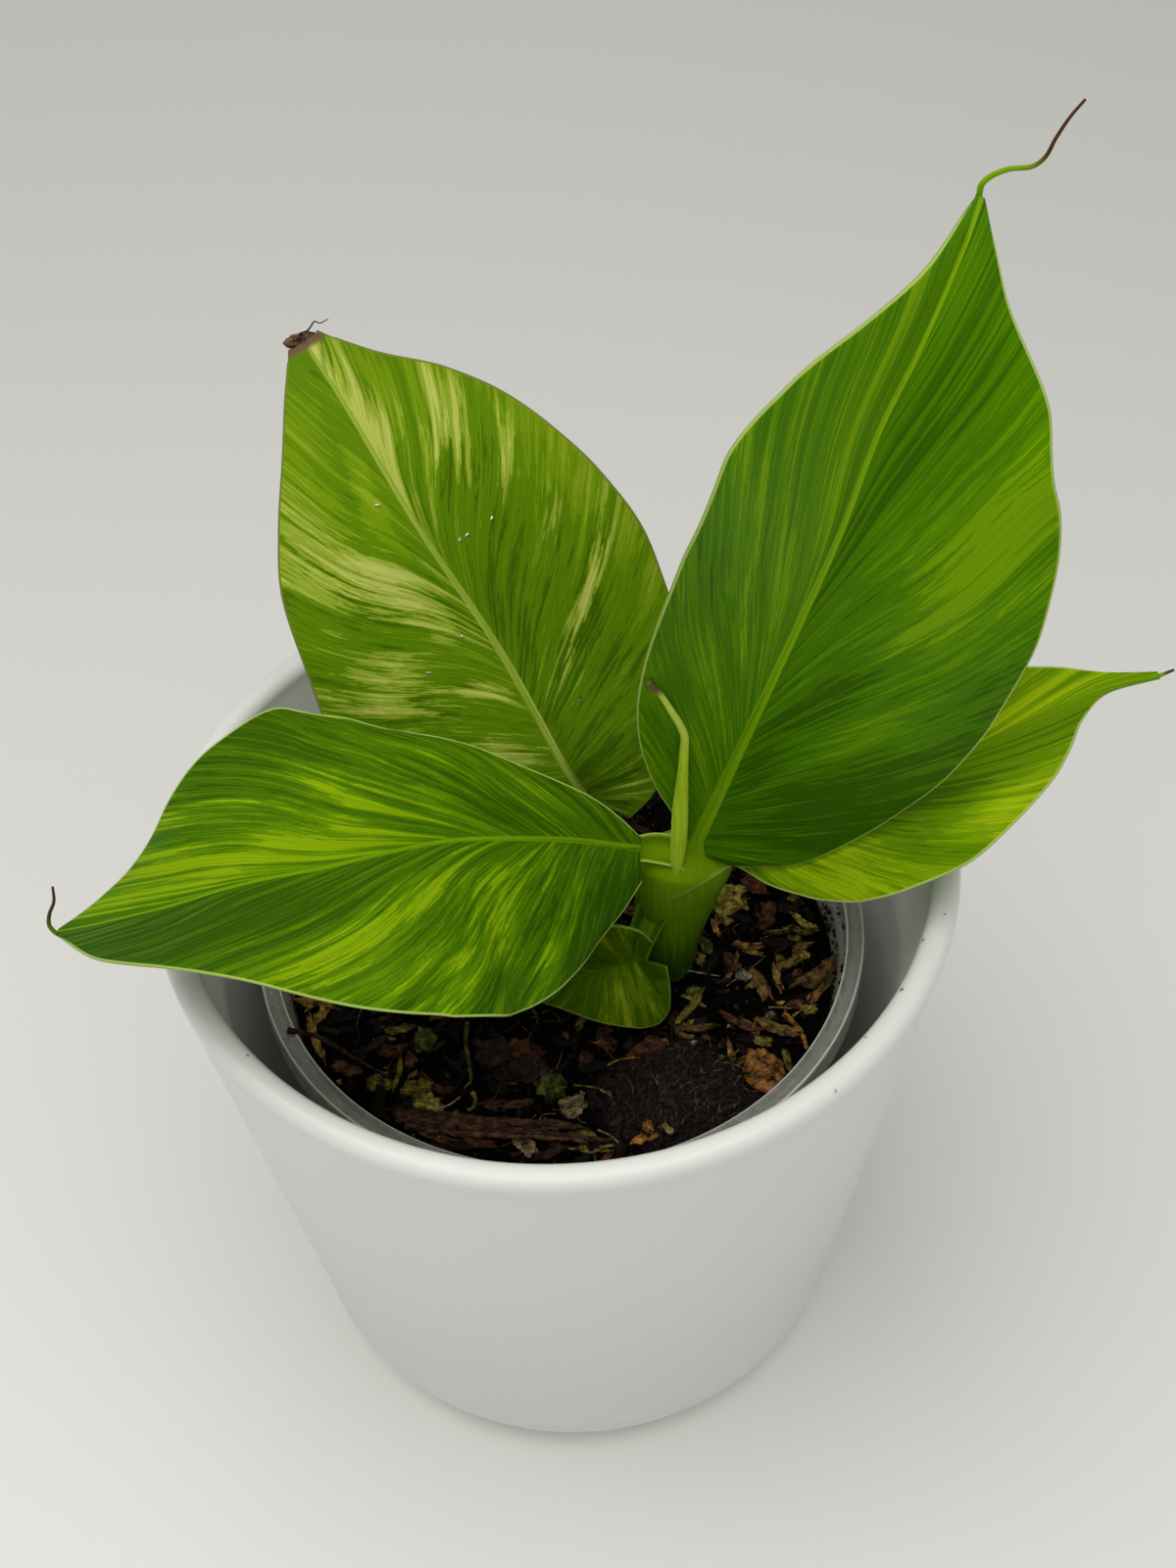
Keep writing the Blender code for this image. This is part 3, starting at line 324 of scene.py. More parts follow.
# A leaf's routes are points from the stem to the tip. "face" is where the upper side looks at the base
# and at the tip. "rib" gives the rib's radius at the stem, at the foot of the blade, at the tip and at
# the end of the tail. Each half has its half width, its rise beside the midrib and its rise at the
# margin, in degrees, by the share of the blade's length.
LEAVES = {
    "leaf_back_right": {
        "petiole": ((22.0, -0.5, 116.0), (22.6, -0.9, 119.0)),
        "blade": (
            (23.7, -2.3, 122.4), (29.7, -3.1, 143.1), (36.9, -4.0, 167.9), (45.0, -3.4, 194.0),
            (50.6, -0.2, 212.0), (56.0, 4.5, 222.0), (63.0, 14.1, 233.0), (66.3, 21.6, 236.0),
        ),
        "tail": (
            (66.3, 21.8, 238.0), (67.6, 22.0, 239.2), (70.0, 22.0, 240.2), (73.4, 22.0, 240.5),
            (75.0, 22.0, 241.9), (76.2, 22.0, 245.0), (77.8, 22.0, 248.3), (79.6, 22.0, 251.0),
        ),
        "face": ((0.15, -0.85, 0.45), (0.25, -0.85, 0.5)),
        "rib": (2.0, 2.0, 0.55, 0.4),
        "left": {
            "width": (
                (0, 1), (0.05, 5), (0.1, 10.3), (0.15, 14), (0.2, 17), (0.3, 21.5), (0.4, 24.5),
                (0.5, 26.5), (0.6, 27.7), (0.68, 27.2), (0.74, 20.5), (0.8, 13.5), (0.9, 4.7), (1, 0.6),
            ),
            "rise": ((0, -10), (0.1, -5), (0.2, 4), (0.35, 14), (0.5, 20), (0.7, 24), (0.88, 24), (1, 5)),
            "edge": ((0, -15), (0.1, -10), (0.2, 0), (0.35, 10), (0.5, 18), (0.7, 24), (0.88, 24), (1, 5)),
        },
        "right": {
            "width": (
                (0, 8), (0.05, 17.5), (0.1, 22), (0.2, 28.5), (0.3, 33), (0.4, 34.8), (0.5, 35),
                (0.6, 33), (0.7, 29), (0.8, 22), (0.9, 8.5), (1, 0.6),
            ),
            "rise": ((0, 30), (0.3, 28), (0.7, 26), (0.88, 24), (1, 5)),
            "edge": ((0, 10), (0.3, 10), (0.7, 10), (0.88, 16), (1, 5)),
        },
    },
    "leaf_back_left": {
        "petiole": ((17.0, 3.0, 104.0), (13.2, 4.2, 108.5), (10.6, 5.0, 114.8), (8.2, 5.5, 121.3)),
        "blade": (
            (5.9, 5.8, 127.2), (2.4, 6.9, 134.2), (-7.9, 17.4, 153.0), (-21.3, 30.6, 171.5),
            (-33.2, 49.3, 183.5), (-39.1, 59.5, 187.0),
        ),
        "tail": ((-41.0, 62.6, 187.6),),
        "face": ((-0.1, -0.75, 0.65), (0.1, -0.75, 0.65)),
        "rib": (2.2, 2.0, 0.6, 0.6),
        "left": {
            "width": (
                (0, 1), (0.05, 8), (0.1, 18), (0.15, 26), (0.2, 31), (0.3, 33.5), (0.4, 31.5), (0.5, 29),
                (0.6, 26), (0.7, 20.5), (0.8, 14.5), (0.9, 9), (1, 3),
            ),
            "rise": ((0, 30), (0.3, 18), (1, 15)),
            "edge": ((0, 20), (0.3, 5), (1, 5)),
        },
        "right": {
            "width": (
                (-0.065, 5), (-0.03, 11), (0, 14.5), (0.05, 19), (0.1, 22.5), (0.15, 26), (0.2, 28.5),
                (0.3, 30.5), (0.4, 32), (0.5, 31), (0.6, 28.5), (0.7, 24.5), (0.8, 18), (0.9, 9), (1, 3),
            ),
            "rise": ((-0.065, 30), (0.3, 18), (1, 15)),
            "edge": ((-0.065, 20), (0.3, 5), (1, 5)),
        },
    },
    "leaf_front_left": {
        "petiole": ((18.6, -1.2, 118.5), (17.2, -1.8, 121.2)),
        "blade": (
            (14.0, -2.9, 123.5), (3.4, -7.6, 131.5), (-6.7, -13.1, 139.0), (-16.5, -17.3, 144.0),
            (-26.1, -21.8, 147.0), (-35.7, -25.2, 148.0), (-48.9, -27.5, 147.5), (-62.5, -28.5, 143.5),
            (-73.3, -27.3, 139.0), (-80.9, -26.2, 136.0),
        ),
        "tail": (
            (-81.8, -26.5, 138.0), (-81.3, -26.5, 141.0), (-80.0, -26.3, 144.0), (-79.6, -26.0, 147.2),
        ),
        "face": ((0.0, -0.45, 0.9), (0.0, 0.1, 1.0)),
        "rib": (2.0, 1.8, 0.5, 0.4),
        "left": {
            "width": (
                (0, 6), (0.05, 12), (0.1, 16.5), (0.2, 23.5), (0.3, 29.5), (0.4, 31.5), (0.5, 29.5),
                (0.6, 24.5), (0.7, 19), (0.8, 13.5), (0.9, 9), (1, 0.6),
            ),
            "rise": ((0, 10), (0.3, 8), (0.85, 13), (1, 3)),
            "edge": ((0, -10), (0.3, -20), (0.85, 3), (1, 3)),
        },
        "right": {
            "width": (
                (0, 2), (0.05, 5), (0.1, 7.5), (0.2, 11.5), (0.3, 15.5), (0.4, 20), (0.5, 25.5),
                (0.6, 29), (0.7, 25.5), (0.8, 19), (0.9, 8.5), (1, 0.6),
            ),
            "rise": ((0, 35), (0.3, 22), (0.85, 17), (1, 3)),
            "edge": ((0, 20), (0.3, 10), (0.85, 6), (1, 3)),
        },
    },
    "leaf_right": {
        "petiole": ((26.0, 2.8, 114.0),),
        "blade": (
            (29.5, 2.5, 117.5), (39.6, -0.3, 123.0), (51.0, -1.2, 131.0), (62.0, -2.2, 139.0),
            (69.9, -1.9, 144.0), (81.2, 0.4, 148.5), (91.5, 4.9, 150.0), (102.2, 7.7, 150.0),
        ),
        "tail": ((105.0, 8.6, 150.2),),
        "face": ((0.0, -0.35, 0.9), (0.1, -0.35, 0.9)),
        "rib": (1.8, 1.8, 0.5, 0.4),
        "left": {
            "width": (
                (0, 1), (0.05, 4), (0.1, 9), (0.2, 14), (0.3, 17), (0.4, 17), (0.5, 15.5), (0.6, 13.5),
                (0.7, 11), (0.8, 7), (0.9, 2.3), (1, 0.6),
            ),
            "rise": ((0, 20), (0.3, 15), (0.85, 11), (1, 3)),
            "edge": ((0, 10), (0.3, 5), (1, 3)),
        },
        "right": {
            "width": (
                (0, 3), (0.05, 5.5), (0.1, 8.5), (0.15, 11.5), (0.2, 14.8), (0.3, 19.3), (0.4, 20.5),
                (0.5, 20), (0.6, 16.5), (0.7, 11.5), (0.8, 4), (0.9, 1), (1, 0.6),
            ),
            "rise": ((0, -15), (0.3, 20), (0.85, 18), (1, 3)),
            "edge": ((0, -25), (0.3, 12), (0.85, 10), (1, 3)),
        },
    },
    "leaf_low": {
        "petiole": ((17.6, -2.6, 107.6), (14.8, -6.6, 106.4)),
        "blade": (
            (13.3, -11.0, 103.5), (8.7, -11.9, 102.6), (3.6, -12.5, 100.6), (-1.7, -12.3, 97.8),
            (-7.0, -11.0, 94.5),
        ),
        "tail": ((-8.5, -10.8, 93.6),),
        "face": ((0.1, -0.8, 0.6), (0.0, -0.5, 0.9)),
        "rib": (1.3, 1.1, 0.5, 0.4),
        "left": {
            "width": (
                (-0.2, 4), (-0.17, 9), (-0.1, 13.5), (0, 14.8), (0.1, 14), (0.3, 12), (0.5, 8.5),
                (0.75, 3.5), (1, 0.6),
            ),
            "rise": ((-0.2, -20), (0.3, 0), (1, 0)),
            "edge": ((-0.2, -24), (0.3, -22), (1, 0)),
        },
        "right": {
            "width": (
                (-0.15, 4), (-0.1, 8), (0, 10.5), (0.15, 11), (0.3, 11), (0.5, 9.5), (0.75, 6), (1, 0.6),
            ),
            "rise": ((-0.15, 50), (0.3, 40), (1, 20)),
            "edge": ((-0.15, 40), (0.3, 30), (1, 10)),
        },
    },
}

# How fast the veins of each half run forward: (left, right)
VEIN_SWEEP = {
    "leaf_back_right": (3.7, 3.0),
    "leaf_back_left": (2.0, 2.4),
    "leaf_front_left": (2.4, 3.0),
    "leaf_right": (2.6, 3.0),
    "leaf_low": (2.0, 2.0),
}
SWEEP_START = 0.8
VEIN_BOW = 0.35
BOW_START = 0.35

# Furled leaf: its route and a radius at each point
FURLED_ROUTE = (
    (20.6, -4.4, 117.3), (20.7, -4.4, 121.2), (21.1, -4.4, 128.5), (21.4, -4.6, 135.7),
    (21.7, -5.2, 143.3), (21.9, -6.2, 151.4), (21.9, -6.9, 155.6), (21.0, -7.7, 159.4),
    (19.7, -8.6, 163.3), (18.1, -9.8, 168.0), (16.1, -11.1, 172.4),
)
FURLED_RADII = (0.5, 1.3, 1.5, 1.4, 1.15, 0.9, 0.75, 0.65, 0.6, 0.5, 0.4)
FURLED_ROWS = 160
FURLED_STREAKS = ((0.38, 0.56, 0.015), (0.5, 0.68, 0.04))
FURLED_COLOURS = ((148.0, 158.0, (0.54, 0.66, 0.09)), (167.5, 170.5, (0.14, 0.08, 0.04)))


def point_noise(points, size, seed):
    """Smooth noise between about -1 and 1 at each point, with lumps of the given size."""
    shift = Vector((seed * 7.31, seed * 3.17, seed * 5.73))
    return np.array([noise.noise(Vector(p) / size + shift) for p in np.asarray(points, float)])


def smooth_curve(points, count):
    """Evenly spaced points along a centripetal Catmull-Rom curve, and its length."""
    pts = np.asarray(points, float)
    knots = np.r_[0, np.cumsum(np.sqrt(np.linalg.norm(np.diff(pts, axis=0), axis=1)))]
    pts = np.vstack([2 * pts[0] - pts[1], pts, 2 * pts[-1] - pts[-2]])
    knots = np.r_[-knots[1], knots, 2 * knots[-1] - knots[-2]]
    fine = []
    for i in range(1, len(pts) - 2):
        k0, k1, k2, k3 = knots[i - 1:i + 3]
        p0, p1, p2, p3 = pts[i - 1:i + 3]
        for k in np.linspace(k1, k2, CURVE_STEPS, endpoint=False):
            a1 = ((k1 - k) * p0 + (k - k0) * p1) / (k1 - k0)
            a2 = ((k2 - k) * p1 + (k - k1) * p2) / (k2 - k1)
            a3 = ((k3 - k) * p2 + (k - k2) * p3) / (k3 - k2)
            b1 = ((k2 - k) * a1 + (k - k0) * a2) / (k2 - k0)
            b2 = ((k3 - k) * a2 + (k - k1) * a3) / (k3 - k1)
            fine.append(((k2 - k) * b1 + (k - k1) * b2) / (k2 - k1))
    fine = np.array(fine + [pts[-2]])
    along = np.r_[0, np.cumsum(np.linalg.norm(np.diff(fine, axis=0), axis=1))]
    wanted = np.linspace(0, along[-1], count)
    return np.stack([np.interp(wanted, along, fine[:, k]) for k in range(3)], 1), along[-1]


def smooth_table(table, at):
    """Reads a table of (share, value) pairs with a smooth curve that never overshoots."""
    xs = np.array([pair[0] for pair in table], float)
    ys = np.array([pair[1] for pair in table], float)
    width = np.diff(xs)
    slope = np.diff(ys) / width
    tangent = np.zeros(len(xs))
    same_way = slope[:-1] * slope[1:] > 0
    total = np.where(same_way, slope[:-1] + slope[1:], 1.0)
    tangent[1:-1] = np.where(same_way, 2 * slope[:-1] * slope[1:] / total, 0.0)
    tangent[0] = slope[0]
    tangent[-1] = slope[-1]
    at = np.clip(np.asarray(at, float), xs[0], xs[-1])
    i = np.clip(np.searchsorted(xs, at, side="right") - 1, 0, len(xs) - 2)
    t = (at - xs[i]) / width[i]
    start = (1 + 2 * t) * (1 - t) ** 2 * ys[i] + t * (1 - t) ** 2 * width[i] * tangent[i]
    end = t * t * (3 - 2 * t) * ys[i + 1] + t * t * (t - 1) * width[i] * tangent[i + 1]
    return start + end


def unit(vectors):
    """The vectors made one long; those that are almost nothing stay short."""
    return vectors / np.maximum(np.linalg.norm(vectors, axis=-1), 1e-9)[..., None]


def directions(points, up):
    """Unit directions along a curve, to its side and up from it."""
    along = unit(np.gradient(points, axis=0))
    up = unit(up - (up * along).sum(1)[:, None] * along)
    return along, np.cross(along, up), up


def midrib_frame(leaf):
    """The midrib's points with the directions along it, to the leaf's right and off its face."""
    mid, length = smooth_curve(leaf["blade"], MIDRIB_SAMPLES)
    share = np.linspace(0, 1, MIDRIB_SAMPLES)[:, None]
    base, tip = np.array(leaf["face"])
    along, side, face = directions(mid, (1 - share) * base + share * tip)
    return mid, length, along, side, face


def camera_axes():
    """The camera's right, up and backward directions, and its place in millimetres."""
    pitch = math.radians(CAMERA_PITCH)
    roll = math.radians(CAMERA_ROLL)
    back = Vector((0.0, -math.cos(pitch), math.sin(pitch)))
    level = Vector((1.0, 0.0, 0.0))
    upright = back.cross(level)
    right = level * math.cos(roll) + upright * math.sin(roll)
    up = upright * math.cos(roll) - level * math.sin(roll)
    return right, up, back, Vector(CAMERA_TARGET) + back * CAMERA_DISTANCE


def arc(centre, radius, start, end, count):
    """Points of an arc in the (radius, height) plane, between two angles in degrees."""
    angles = [math.radians(start + (end - start) * k / count) for k in range(count + 1)]
    return [(centre[0] + radius * math.cos(a), centre[1] + radius * math.sin(a)) for a in angles]


class Graph:
    """A material whose nodes are made by short calls."""

    def __init__(self, name, **shader_values):
        self.mat = bpy.data.materials.new(name)
        self.mat.use_nodes = True
        self.tree = self.mat.node_tree
        self.shader = self.tree.nodes["Principled BSDF"]
        for key, value in shader_values.items():
            self.feed(self.shader.inputs[key.replace("_", " ")], value)

    def feed(self, socket, value):
        if isinstance(value, bpy.types.NodeSocket):
            self.tree.links.new(value, socket)
        elif socket.type == "RGBA":
            socket.default_value = (*value, 1.0)
        else:
            socket.default_value = value

    def node(self, kind, inputs=(), output=0, **settings):
        made = self.tree.nodes.new("ShaderNode" + kind)
        for key, value in settings.items():
            setattr(made, key, value)
        for key, value in dict(inputs).items():
            self.feed(made.inputs[key], value)
        return made.outputs[output]

    def attribute(self, name, output="Fac"):
        return self.node("Attribute", output=output, attribute_name=name)

    def math(self, operation, *values):
        return self.node("Math", enumerate(values), operation=operation)

    def mix(self, share, first, second, blend="MIX"):
        inputs = {0: share, 6: first, 7: second}
        return self.node("Mix", inputs, 2, data_type="RGBA", blend_type=blend)

    def step(self, value, low, high):
        """0 below low and 1 above high, with a smooth change between them."""
        inputs = {"Value": value, "From Min": low, "From Max": high}
        return self.node("MapRange", inputs, interpolation_type="SMOOTHSTEP")

    def scaled(self, vector, scale, shift=(0.0, 0.0, 0.0)):
        return self.node("VectorMath", {0: vector, 1: scale, 2: shift}, operation="MULTIPLY_ADD")

    def paint(self, under, field, low, high, over):
        """Lays one colour over another where a field passes from low to high."""
        return self.mix(self.step(field, low, high), under, over)

    def ranged(self, value, low, high, start=0.0, end=1.0):
        """Turns values between start and end into values between low and high."""
        inputs = {"Value": value, "From Min": start, "From Max": end, "To Min": low, "To Max": high}
        return self.node("MapRange", inputs)

    def noise(self, vector, scale=1.0, detail=2.0, roughness=0.5):
        inputs = {"Vector": vector, "Scale": scale, "Detail": detail, "Roughness": roughness}
        return self.node("TexNoise", inputs, "Fac")

    def place(self):
        """The point's place in millimetres, in the frame's own axes."""
        return self.scaled(self.node("TexCoord", output="Object"), (1 / MM, 1 / MM, 1 / MM))

    def height(self, place):
        return self.node("SeparateXYZ", {0: place}, 2)

    def radius(self, place):
        flat = self.scaled(place, (1.0, 1.0, 0.0))
        return self.node("VectorMath", {0: flat}, "Value", operation="LENGTH")

    def bump(self, height, depth, strength=1.0):
        inputs = {"Height": height, "Distance": depth * MM, "Strength": strength}
        self.feed(self.shader.inputs["Normal"], self.node("Bump", inputs))

    def finish(self, **links):
        for key, value in links.items():
            self.feed(self.shader.inputs[key.replace("_", " ")], value)
        return self.mat


def part(points, faces, index=0, **data):
    """Mesh data in millimetres. data holds values for each point, which the materials read."""
    points = np.asarray(points, float).reshape(-1, 3)
    return {"points": points, "faces": faces, "index": index, "data": data}


def grid_faces(rows, columns, closed=False, flip=False):
    """Quads between the points of a grid, which is joined side to side where it is closed."""
    i, j = np.meshgrid(np.arange(rows - 1), np.arange(columns if closed else columns - 1), indexing="ij")
    near, after = i * columns, (j + 1) % columns
    far = near + columns
    quads = np.stack([near + j, near + after, far + after, far + j], -1).reshape(-1, 4)
    return quads[:, ::-1].tolist() if flip else quads.tolist()


def grid_outline(rows, columns):
    """Indices of a grid's outer points in order, and of the inner neighbour of each."""
    index = np.arange(rows * columns).reshape(rows, columns)
    loop = np.concatenate([index[0, :-1], index[:-1, -1], index[-1, :0:-1], index[:0:-1, 0]])
    inner = np.concatenate([index[1, :-1], index[:-1, -2], index[-2, :0:-1], index[:0:-1, 1]])
    return loop, inner


def joined_values(parts, key):
    """One attribute's values for the points of all parts, with zeros where a part has none."""
    sample = next(one["data"][key] for one in parts if key in one["data"])
    wide = np.shape(sample)[1:]
    fields = [one["data"].get(key, np.zeros((len(one["points"]), *wide))) for one in parts]
    return np.concatenate([np.asarray(field) for field in fields]).astype(np.float32)


def add_piece(name, parts, materials, nodes=(), sharp=None):
    """Joins mesh parts into one object that rides the plant and stands for the given nodes."""
    points = np.concatenate([one["points"] for one in parts])
    faces = []
    indices = []
    start = 0
    for one in parts:
        faces += [[corner + start for corner in face] for face in one["faces"]]
        indices += [one["index"]] * len(one["faces"])
        start += len(one["points"])
    mesh = bpy.data.meshes.new(name)
    mesh.from_pydata((points * MM).tolist(), [], faces)
    mesh.polygons.foreach_set("material_index", indices)
    for key in sorted({key for one in parts for key in one["data"]}):
        values = joined_values(parts, key)
        kind, slot_name = ("FLOAT_VECTOR", "vector") if values.ndim == 2 else ("FLOAT", "value")
        mesh.attributes.new(key, kind, "POINT").data.foreach_set(slot_name, values.ravel())
    for mat in materials:
        mesh.materials.append(mat)
    mesh.shade_smooth()
    if sharp is not None:
        mesh.set_sharp_from_angle(angle=math.radians(sharp))
    obj = bpy.data.objects.new(name, mesh)
    bpy.context.scene.collection.objects.link(obj)
    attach(obj, "root")
    if nodes:
        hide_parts(*nodes)


def circle(sides):
    """Evenly spaced angles round a circle."""
    return np.linspace(0, math.tau, sides, endpoint=False)


def even_table(values, count):
    """A smooth run of values from a few that are evenly spaced."""
    return smooth_table(list(zip(np.linspace(0, 1, len(values)), values)), np.linspace(0, 1, count))


def skin(rings, ends, index=0, flip=True, **data):
    """A closed body from rows of points, each a ring, and a point that closes it at each end."""
    rows, sides = rings.shape[:2]
    count = rows * sides
    last = count - sides
    pairs = [(k, (k + 1) % sides) for k in range(sides)]
    if not flip:
        pairs = [(after, k) for k, after in pairs]
    faces = grid_faces(rows, sides, closed=True, flip=flip)
    faces += [[count, k, after] for k, after in pairs]
    faces += [[count + 1, last + after, last + k] for k, after in pairs]
    return part(np.vstack([rings.reshape(-1, 3), ends]), faces, index, **data)


def revolved(profile, segments=POT_SEGMENTS):
    """A turned solid from a profile of (radius, height) points, which ends on the axis at both ends."""
    ring = np.array(profile[1:-1])
    turn = circle(segments)
    x, y = ring[:, :1] * np.cos(turn), ring[:, :1] * np.sin(turn)
    rings = np.stack([x, y, np.repeat(ring[:, 1:], segments, axis=1)], -1)
    return skin(rings, [(0.0, 0.0, profile[0][1]), (0.0, 0.0, profile[-1][1])])


def tube_part(points, radii, up, sides=16, squash=None, index=0):
    """A round tube along points. squash(share, angle) changes its section by the share along it."""
    points = np.asarray(points, float)
    _, side, up = directions(points, np.broadcast_to(np.asarray(up, float), points.shape))
    turn = circle(sides)
    across, lift = np.cos(turn)[None], np.sin(turn)[None]
    if squash:
        across, lift = squash(np.linspace(0, 1, len(points))[:, None], turn[None])
    radii = np.asarray(radii, float)[:, None]
    rings = points[:, None] + side[:, None] * (across * radii)[..., None]
    rings = rings + up[:, None] * (lift * radii)[..., None]
    return skin(rings, [points[0], points[-1]], index)


def half_surface(leaf, key, sweep, rows=BLADE_ROWS, columns=HALF_COLUMNS):
    """One half of a blade as a grid: each row is a vein, from the midrib to the margin."""
    mid, length, along, side, face = midrib_frame(leaf)
    half = leaf[key]
    first = half["width"][0][0]
    leave = np.linspace(0, 1, rows + 1) ** ROW_CROWDING
    vein = 1 - (1 - leave ** SWEEP_START) ** sweep
    arrive = first + (1 - first) * vein
    out = np.append(np.linspace(0, 1, columns) ** COLUMN_CROWDING * LAST_COLUMN, 1.0)
    bow = VEIN_BOW * np.clip(leave / BOW_START, 0, 1)[:, None]
    progress = out[None] + bow * np.sin(math.tau * out[None]) / math.tau
    share = leave[:, None] + (arrive - leave)[:, None] * progress
    width = smooth_table(half["width"], arrive)[:, None]
    reach = width * out[None]
    here = smooth_table(half["width"], share)
    slope = (smooth_table(half["width"], share + SLOPE_STEP) - here) / (SLOPE_STEP * length)
    rise = np.radians(smooth_table(half["rise"], share))
    edge = np.radians(smooth_table(half["edge"], share))
    across = np.zeros_like(reach)
    lift = np.zeros_like(reach)
    for k in range(ARC_STEPS):
        bend = rise + (edge - rise) * (k + 0.5) / ARC_STEPS * out[None]
        across += np.cos(bend) * reach / ARC_STEPS
        lift += np.sin(bend) * reach / ARC_STEPS
    rib = rib_radius(leaf, np.clip(share, 0, 1))
    lift += np.sin(np.maximum(rise, 0)) * (np.hypot(reach, 0.7 * rib) - reach)
    sign = -1 if key == "left" else 1
    spot = np.clip(share, 0, 1) * (MIDRIB_SAMPLES - 1)
    low = np.clip(spot.astype(int), 0, MIDRIB_SAMPLES - 2)
    mix = (spot - low)[..., None]
    middle = mid[low] * (1 - mix) + mid[low + 1] * mix
    middle = middle + along[0] * (np.minimum(share, 0) * length)[..., None]
    sideways = side[low] * (1 - mix) + side[low + 1] * mix
    upwards = face[low] * (1 - mix) + face[low + 1] * mix
    return {
        "point": middle + sign * sideways * across[..., None] + upwards * lift[..., None],
        "share": share,
        "reach": reach,
        "margin": np.maximum(here - reach, 0) / np.sqrt(1 + slope ** 2),
        "wide": np.broadcast_to(width, share.shape),
        "vein": np.broadcast_to(vein[:, None], share.shape) * length,
        "out": np.broadcast_to(out[None], share.shape),
        "up": upwards,
        "rib": rib,
        "side": np.full_like(share, 0.0 if key == "left" else 1.0),
    }


def rib_radius(leaf, share):
    """The midrib's radius at a share of the blade's length."""
    foot, tip = leaf["rib"][1:3]
    return foot + (tip - foot) * share ** RIB_TAPER


def blade_parts(name, leaf, seed):
    """The blade's upper side, lower side with the midrib's ridge, and its rounded margin."""
    left, right = [half_surface(leaf, key, sweep) for key, sweep in zip(HALVES, VEIN_SWEEP[name])]
    both = {key: np.concatenate([left[key][:, :0:-1], right[key]], axis=1) for key in left}
    point, reach, rib = both["point"], both["reach"], both["rib"]
    rows, columns = point.shape[:2]
    normal = unit(np.cross(np.gradient(point, axis=1), np.gradient(point, axis=0)))
    fade = np.clip(reach / PLEAT_START, 0, 1) * np.clip(both["margin"] / PLEAT_END, 0, 1)
    pleat = np.sin(both["vein"] * math.tau / PLEAT_PITCH + 2.0 * both["side"]) * PLEAT_DEPTH * fade
    swell = point_noise(point.reshape(-1, 3), SWELL_SIZE, seed).reshape(rows, columns) * SWELL_DEPTH * fade
    if name == "leaf_back_left":
        dry = np.clip((both["share"] - CRUMPLE_START) / (1 - CRUMPLE_START), 0, 1)
        crumple = point_noise(point.reshape(-1, 3), CRUMPLE_SIZE, seed).reshape(rows, columns)
        swell = swell + crumple * CRUMPLE_DEPTH * dry
    surface = point + normal * (pleat + swell)[..., None]
    ridge = (1 - np.clip(reach / (1.25 * rib), 0, 1) ** 2) ** 0.75 * (1 + RIB_SINK) * rib
    top = (surface + normal * BLADE_THICKNESS / 2).reshape(-1, 3)
    bottom = (surface - normal * BLADE_THICKNESS / 2 - both["up"] * ridge[..., None]).reshape(-1, 3)
    data = {
        "vein": np.stack([both["vein"], reach, both["side"] * 300.0], -1).reshape(-1, 3),
        "rib": (reach / (rib + 0.25)).ravel(),
        "edge": (both["margin"] + 0.4 * np.clip(1 - both["wide"] / 4, 0, 1)).ravel(),
        "share": both["share"].ravel(),
    }
    for key, field in patch_fields(name, both).items():
        data[key] = field.ravel()
    loop, inner = grid_outline(rows, columns)
    flat = surface.reshape(-1, 3)
    rim = (top[loop] + bottom[loop]) / 2 + unit(flat[loop] - flat[inner]) * BLADE_THICKNESS * 0.35
    count = rows * columns
    edge = 2 * count + np.arange(len(loop))
    after = np.roll(np.arange(len(loop)), -1)
    upper = np.stack([loop, edge, edge[after], loop[after]], 1)
    lower = np.stack([edge, loop + count, loop[after] + count, edge[after]], 1)
    faces = grid_faces(rows, columns) + upper.tolist()
    faces += (np.array(grid_faces(rows, columns, flip=True)) + count).tolist() + lower.tolist()
    values = {key: np.concatenate([field, field, field[loop]]) for key, field in data.items()}
    under = np.repeat((0.0, 1.0, 0.5), (count, count, len(loop)))
    return part(np.concatenate([top, bottom, rim]), faces, under=under, **values)


def patch_fields(name, both):
    """Listed light, dark and cream patches, which run along the veins."""
    share = both["vein"] / both["vein"].max()
    out = both["out"]
    fields = {"light": np.zeros_like(out), "cream": np.zeros_like(out)}
    for (key, side), patches in PATCHES[name].items():
        own = both["side"] == HALVES.index(side)
        for start, end, inner, outer, amount in patches:
            along = np.minimum(share - start, end - share) / (PATCH_FADE * (end - start))
            across = np.minimum(out - inner, outer - out) / (PATCH_FADE * (outer - inner))
            shape = np.clip(np.minimum(along, across), -1, 1) * 0.5 + 0.5
            fields[key] += amount * np.where(own, shape, 0.0)
    return fields


